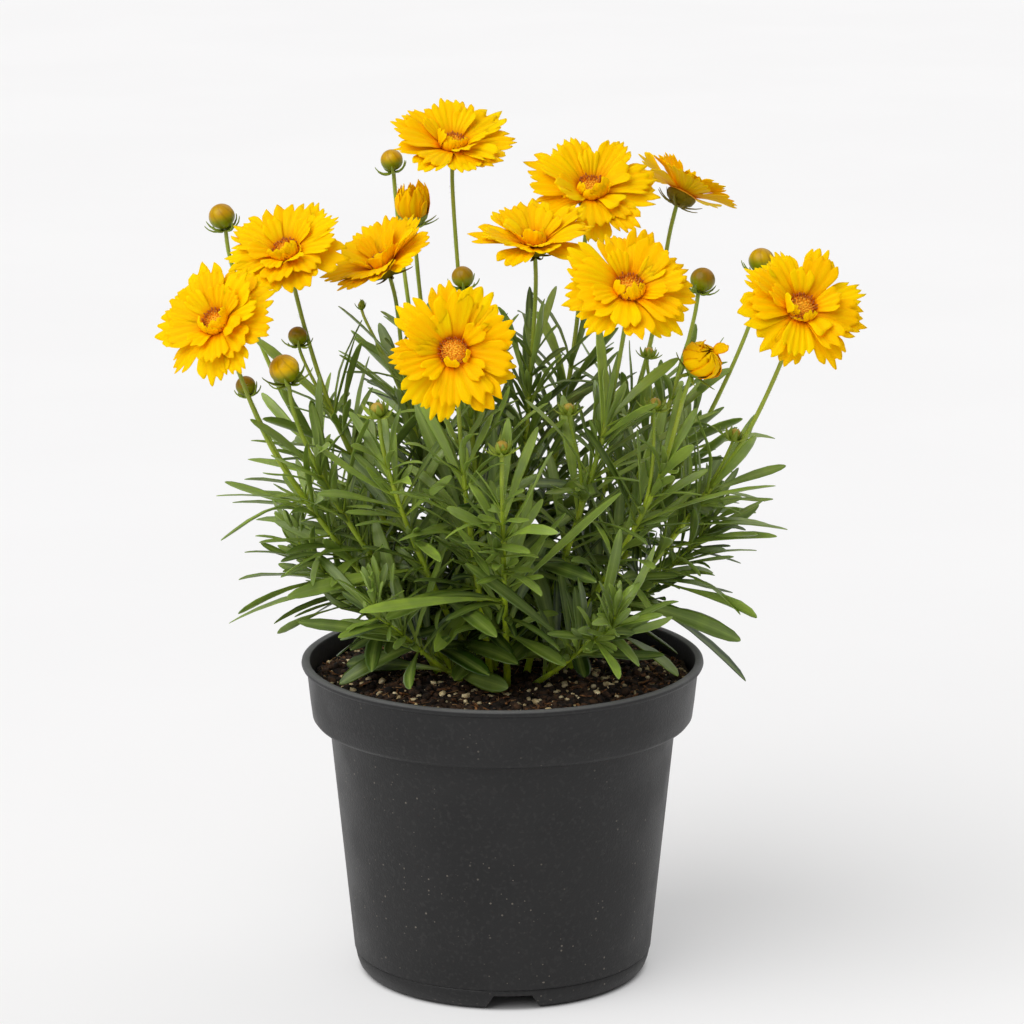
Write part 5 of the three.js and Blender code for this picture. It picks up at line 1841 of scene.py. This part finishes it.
# %% Wrap petals into a cup
UPRIGHT = [(0, 0.5), (0.22, 0.88), (0.5, 1.02), (0.78, 0.97), (1, 0.8)]
CLOSED = [(0, 0.45), (0.2, 0.85), (0.45, 1.04), (0.68, 0.98), (0.85, 0.66), (1, 0.12)]
WRAPS = {
    "01": {"section": UPRIGHT, "swirl": 0.15, "masters": POINTED, "rise": (0.82, 1.08), "taller": -1,
           "pleat": 0.7, "rings": [(8, 1.0, 0.52), (7, 0.82, 0.5), (5, 0.55, 0.6)]},
    "02": {"section": CLOSED, "swirl": 1.0, "masters": ROUND, "rise": (0.92, 1.04), "taller": -3,
           "pleat": 0.35, "rings": [(9, 1.0, 0.5), (6, 0.86, 0.6), (4, 0.62, 0.7)]},
}  # fmt: skip
WRAP_LEVEL = 2.2
TUCK = 0.09
FREE_PETALS = {
    "01": [{"angle": -15, "level": 3.0, "root": 4.4, "reach": 15.5, "half": 1.9, "start": 60, "bend": -20}],
    "02": [
        {"angle": 0, "level": 11.5, "root": 2.0, "reach": 11.5, "half": 2.7, "start": 42, "bend": 40},
        {"angle": 120, "level": 10.5, "root": 3.0, "reach": 9.0, "half": 2.8, "start": 66, "bend": -20},
    ],
}
SMALL_CUP_OUTLINE = [
    (0, -0.4), (1.1, -0.4), (2.0, 0.3), (4.0, 1.4), (5.6, 3.2), (6.2, 5.0), (5.2, 5.6), (0, 5.4),
]  # fmt: skip
SMALL_CUP_TONE = 0.5
FREE_TONE = 0.2
WRAP_CHANCE = {"turn": (0, 0.1), "tuck": (0.7, 1.2)}
SMALL_CUP_BRACTS = [
    {"count": 7, "turn": 0.0, "root": 4.6, "level": 2.4, "length": 5.5, "half": 2.2, "thick": 0.25,
     "start": 66, "bend": 16},
    {"count": 7, "turn": 0.5, "root": 1.6, "level": 0.5, "length": 10.5, "half": 0.95, "thick": 0.35,
     "start": -4, "bend": 34},
]  # fmt: skip
# As in the gold, the root and fold colours are painted shade. The root colour also gives these petals their
# own orange edges.
AMBER = {
    "deep": rgb(1.0, 0.54, 0.0),
    "bright": rgb(1.0, 0.64, 0.0),
    "root": rgb(0.8, 0.17, 0.0),
    "fold": rgb(1.0, 0.36, 0.0),
}


def wrap_petal(master, wrap, radius, height, angle, half, chance):
    """A petal wrapped round the axis, one of its edges tucked in behind its neighbour."""
    along, across, fold = master["points"].T
    around = angle + across * half + wrap["swirl"] * along
    tuck = 1 - TUCK * across * chance.uniform(*WRAP_CHANCE["tuck"])
    out = radius * np.interp(along, *zip(*wrap["section"])) * tuck + fold * wrap["pleat"]
    rise = height * along * chance.uniform(*wrap["rise"]) + WRAP_LEVEL
    return np.column_stack([out * np.cos(around), out * np.sin(around), rise])


def make_opening(number, head):
    chance = chance_of("opening", number)
    wrap = WRAPS[number]
    height = head["height"] + wrap["taller"]
    copies = []
    for ring, (count, size, half) in enumerate(wrap["rings"]):
        for i in range(count):
            angle = 2 * math.pi * (i + ring / 2) / count + chance.gauss(*WRAP_CHANCE["turn"])
            master = chance.choice(wrap["masters"])
            points = wrap_petal(master, wrap, head["radius"] * size, height, angle, half, chance)
            copies.append((master, in_place(head, points), chance.random()))
    for free in FREE_PETALS[number]:
        layer = free | {"masters": ROUND}
        master, points = grow_petal(layer, free["level"], math.radians(free["angle"]), 0, chance)
        copies.append((master, in_place(head, points), FREE_TONE))
    return petal_piece("opening_petals_" + number, copies)


AMBER_FINISH = make_petal_finish("amber_petal", AMBER, 0.6, 0.1)
SMALL_CUP = spun_master(SMALL_CUP_OUTLINE)
for number, head in OPENINGS.items():
    put(make_opening(number, head), AMBER_FINISH, "petal", "opening_" + number)
    chance = chance_of("small cup", number)
    cup = (SMALL_CUP, in_place(head, SMALL_CUP["points"]), SMALL_CUP_TONE)
    piece = gather("opening_cup_" + number, [cup, *bract_rings(head, chance, SMALL_CUP_BRACTS)])
    put(piece, BRACT_FINISH, "stem", "stem_" + head["on"])
print("opening blooms:", len(OPENINGS))

# %% [markdown]
# ## The floor
#
# The floor is a plain pale sheet, much larger than the view, so that its far edge never shows. It glows a
# little, as painted light that keeps its shadows pale, but not under the pot.

# %% Floor
FLOOR = {"size": 60.0, "glow": 0.33, "glow_from": (0.0585, 0.063)}
PAPER = (rgb(0.56, 0.555, 0.555), rgb(0.57, 0.565, 0.565))


def make_floor():
    deselect()
    bpy.ops.mesh.primitive_plane_add(size=FLOOR["size"], location=(0, 0, 0))
    floor = bpy.context.object
    floor.name = "studio_floor"
    plain = {"Roughness": 0.9, "Specular_IOR_Level": 0.1, "Emission_Color": rgb(1.0, 1.0, 1.0)}
    material, tree, shader = new_finish("pale_paper", **plain)
    place = object_place(tree)
    tree.links.new(mottled(tree, place, 3.0, *PAPER)[0], shader.inputs["Base Color"])
    away = add_node(tree, "ShaderNodeVectorMath", {"operation": "LENGTH"}, _0=place).outputs["Value"]
    # Painted light: the floor glows everywhere but under the pot, so that shadows on it stay pale.
    tree.links.new(ramp(tree, away, *FLOOR["glow_from"], FLOOR["glow"]), shader.inputs["Emission Strength"])
    floor.data.materials.append(material)
    floor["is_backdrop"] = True


make_floor()
print("floor:", FLOOR["size"], "m wide")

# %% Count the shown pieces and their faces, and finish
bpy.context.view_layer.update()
faces = {piece.name: len(piece.data.polygons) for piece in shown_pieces()}
print("pieces:", len(faces), "faces:", sum(faces.values()))
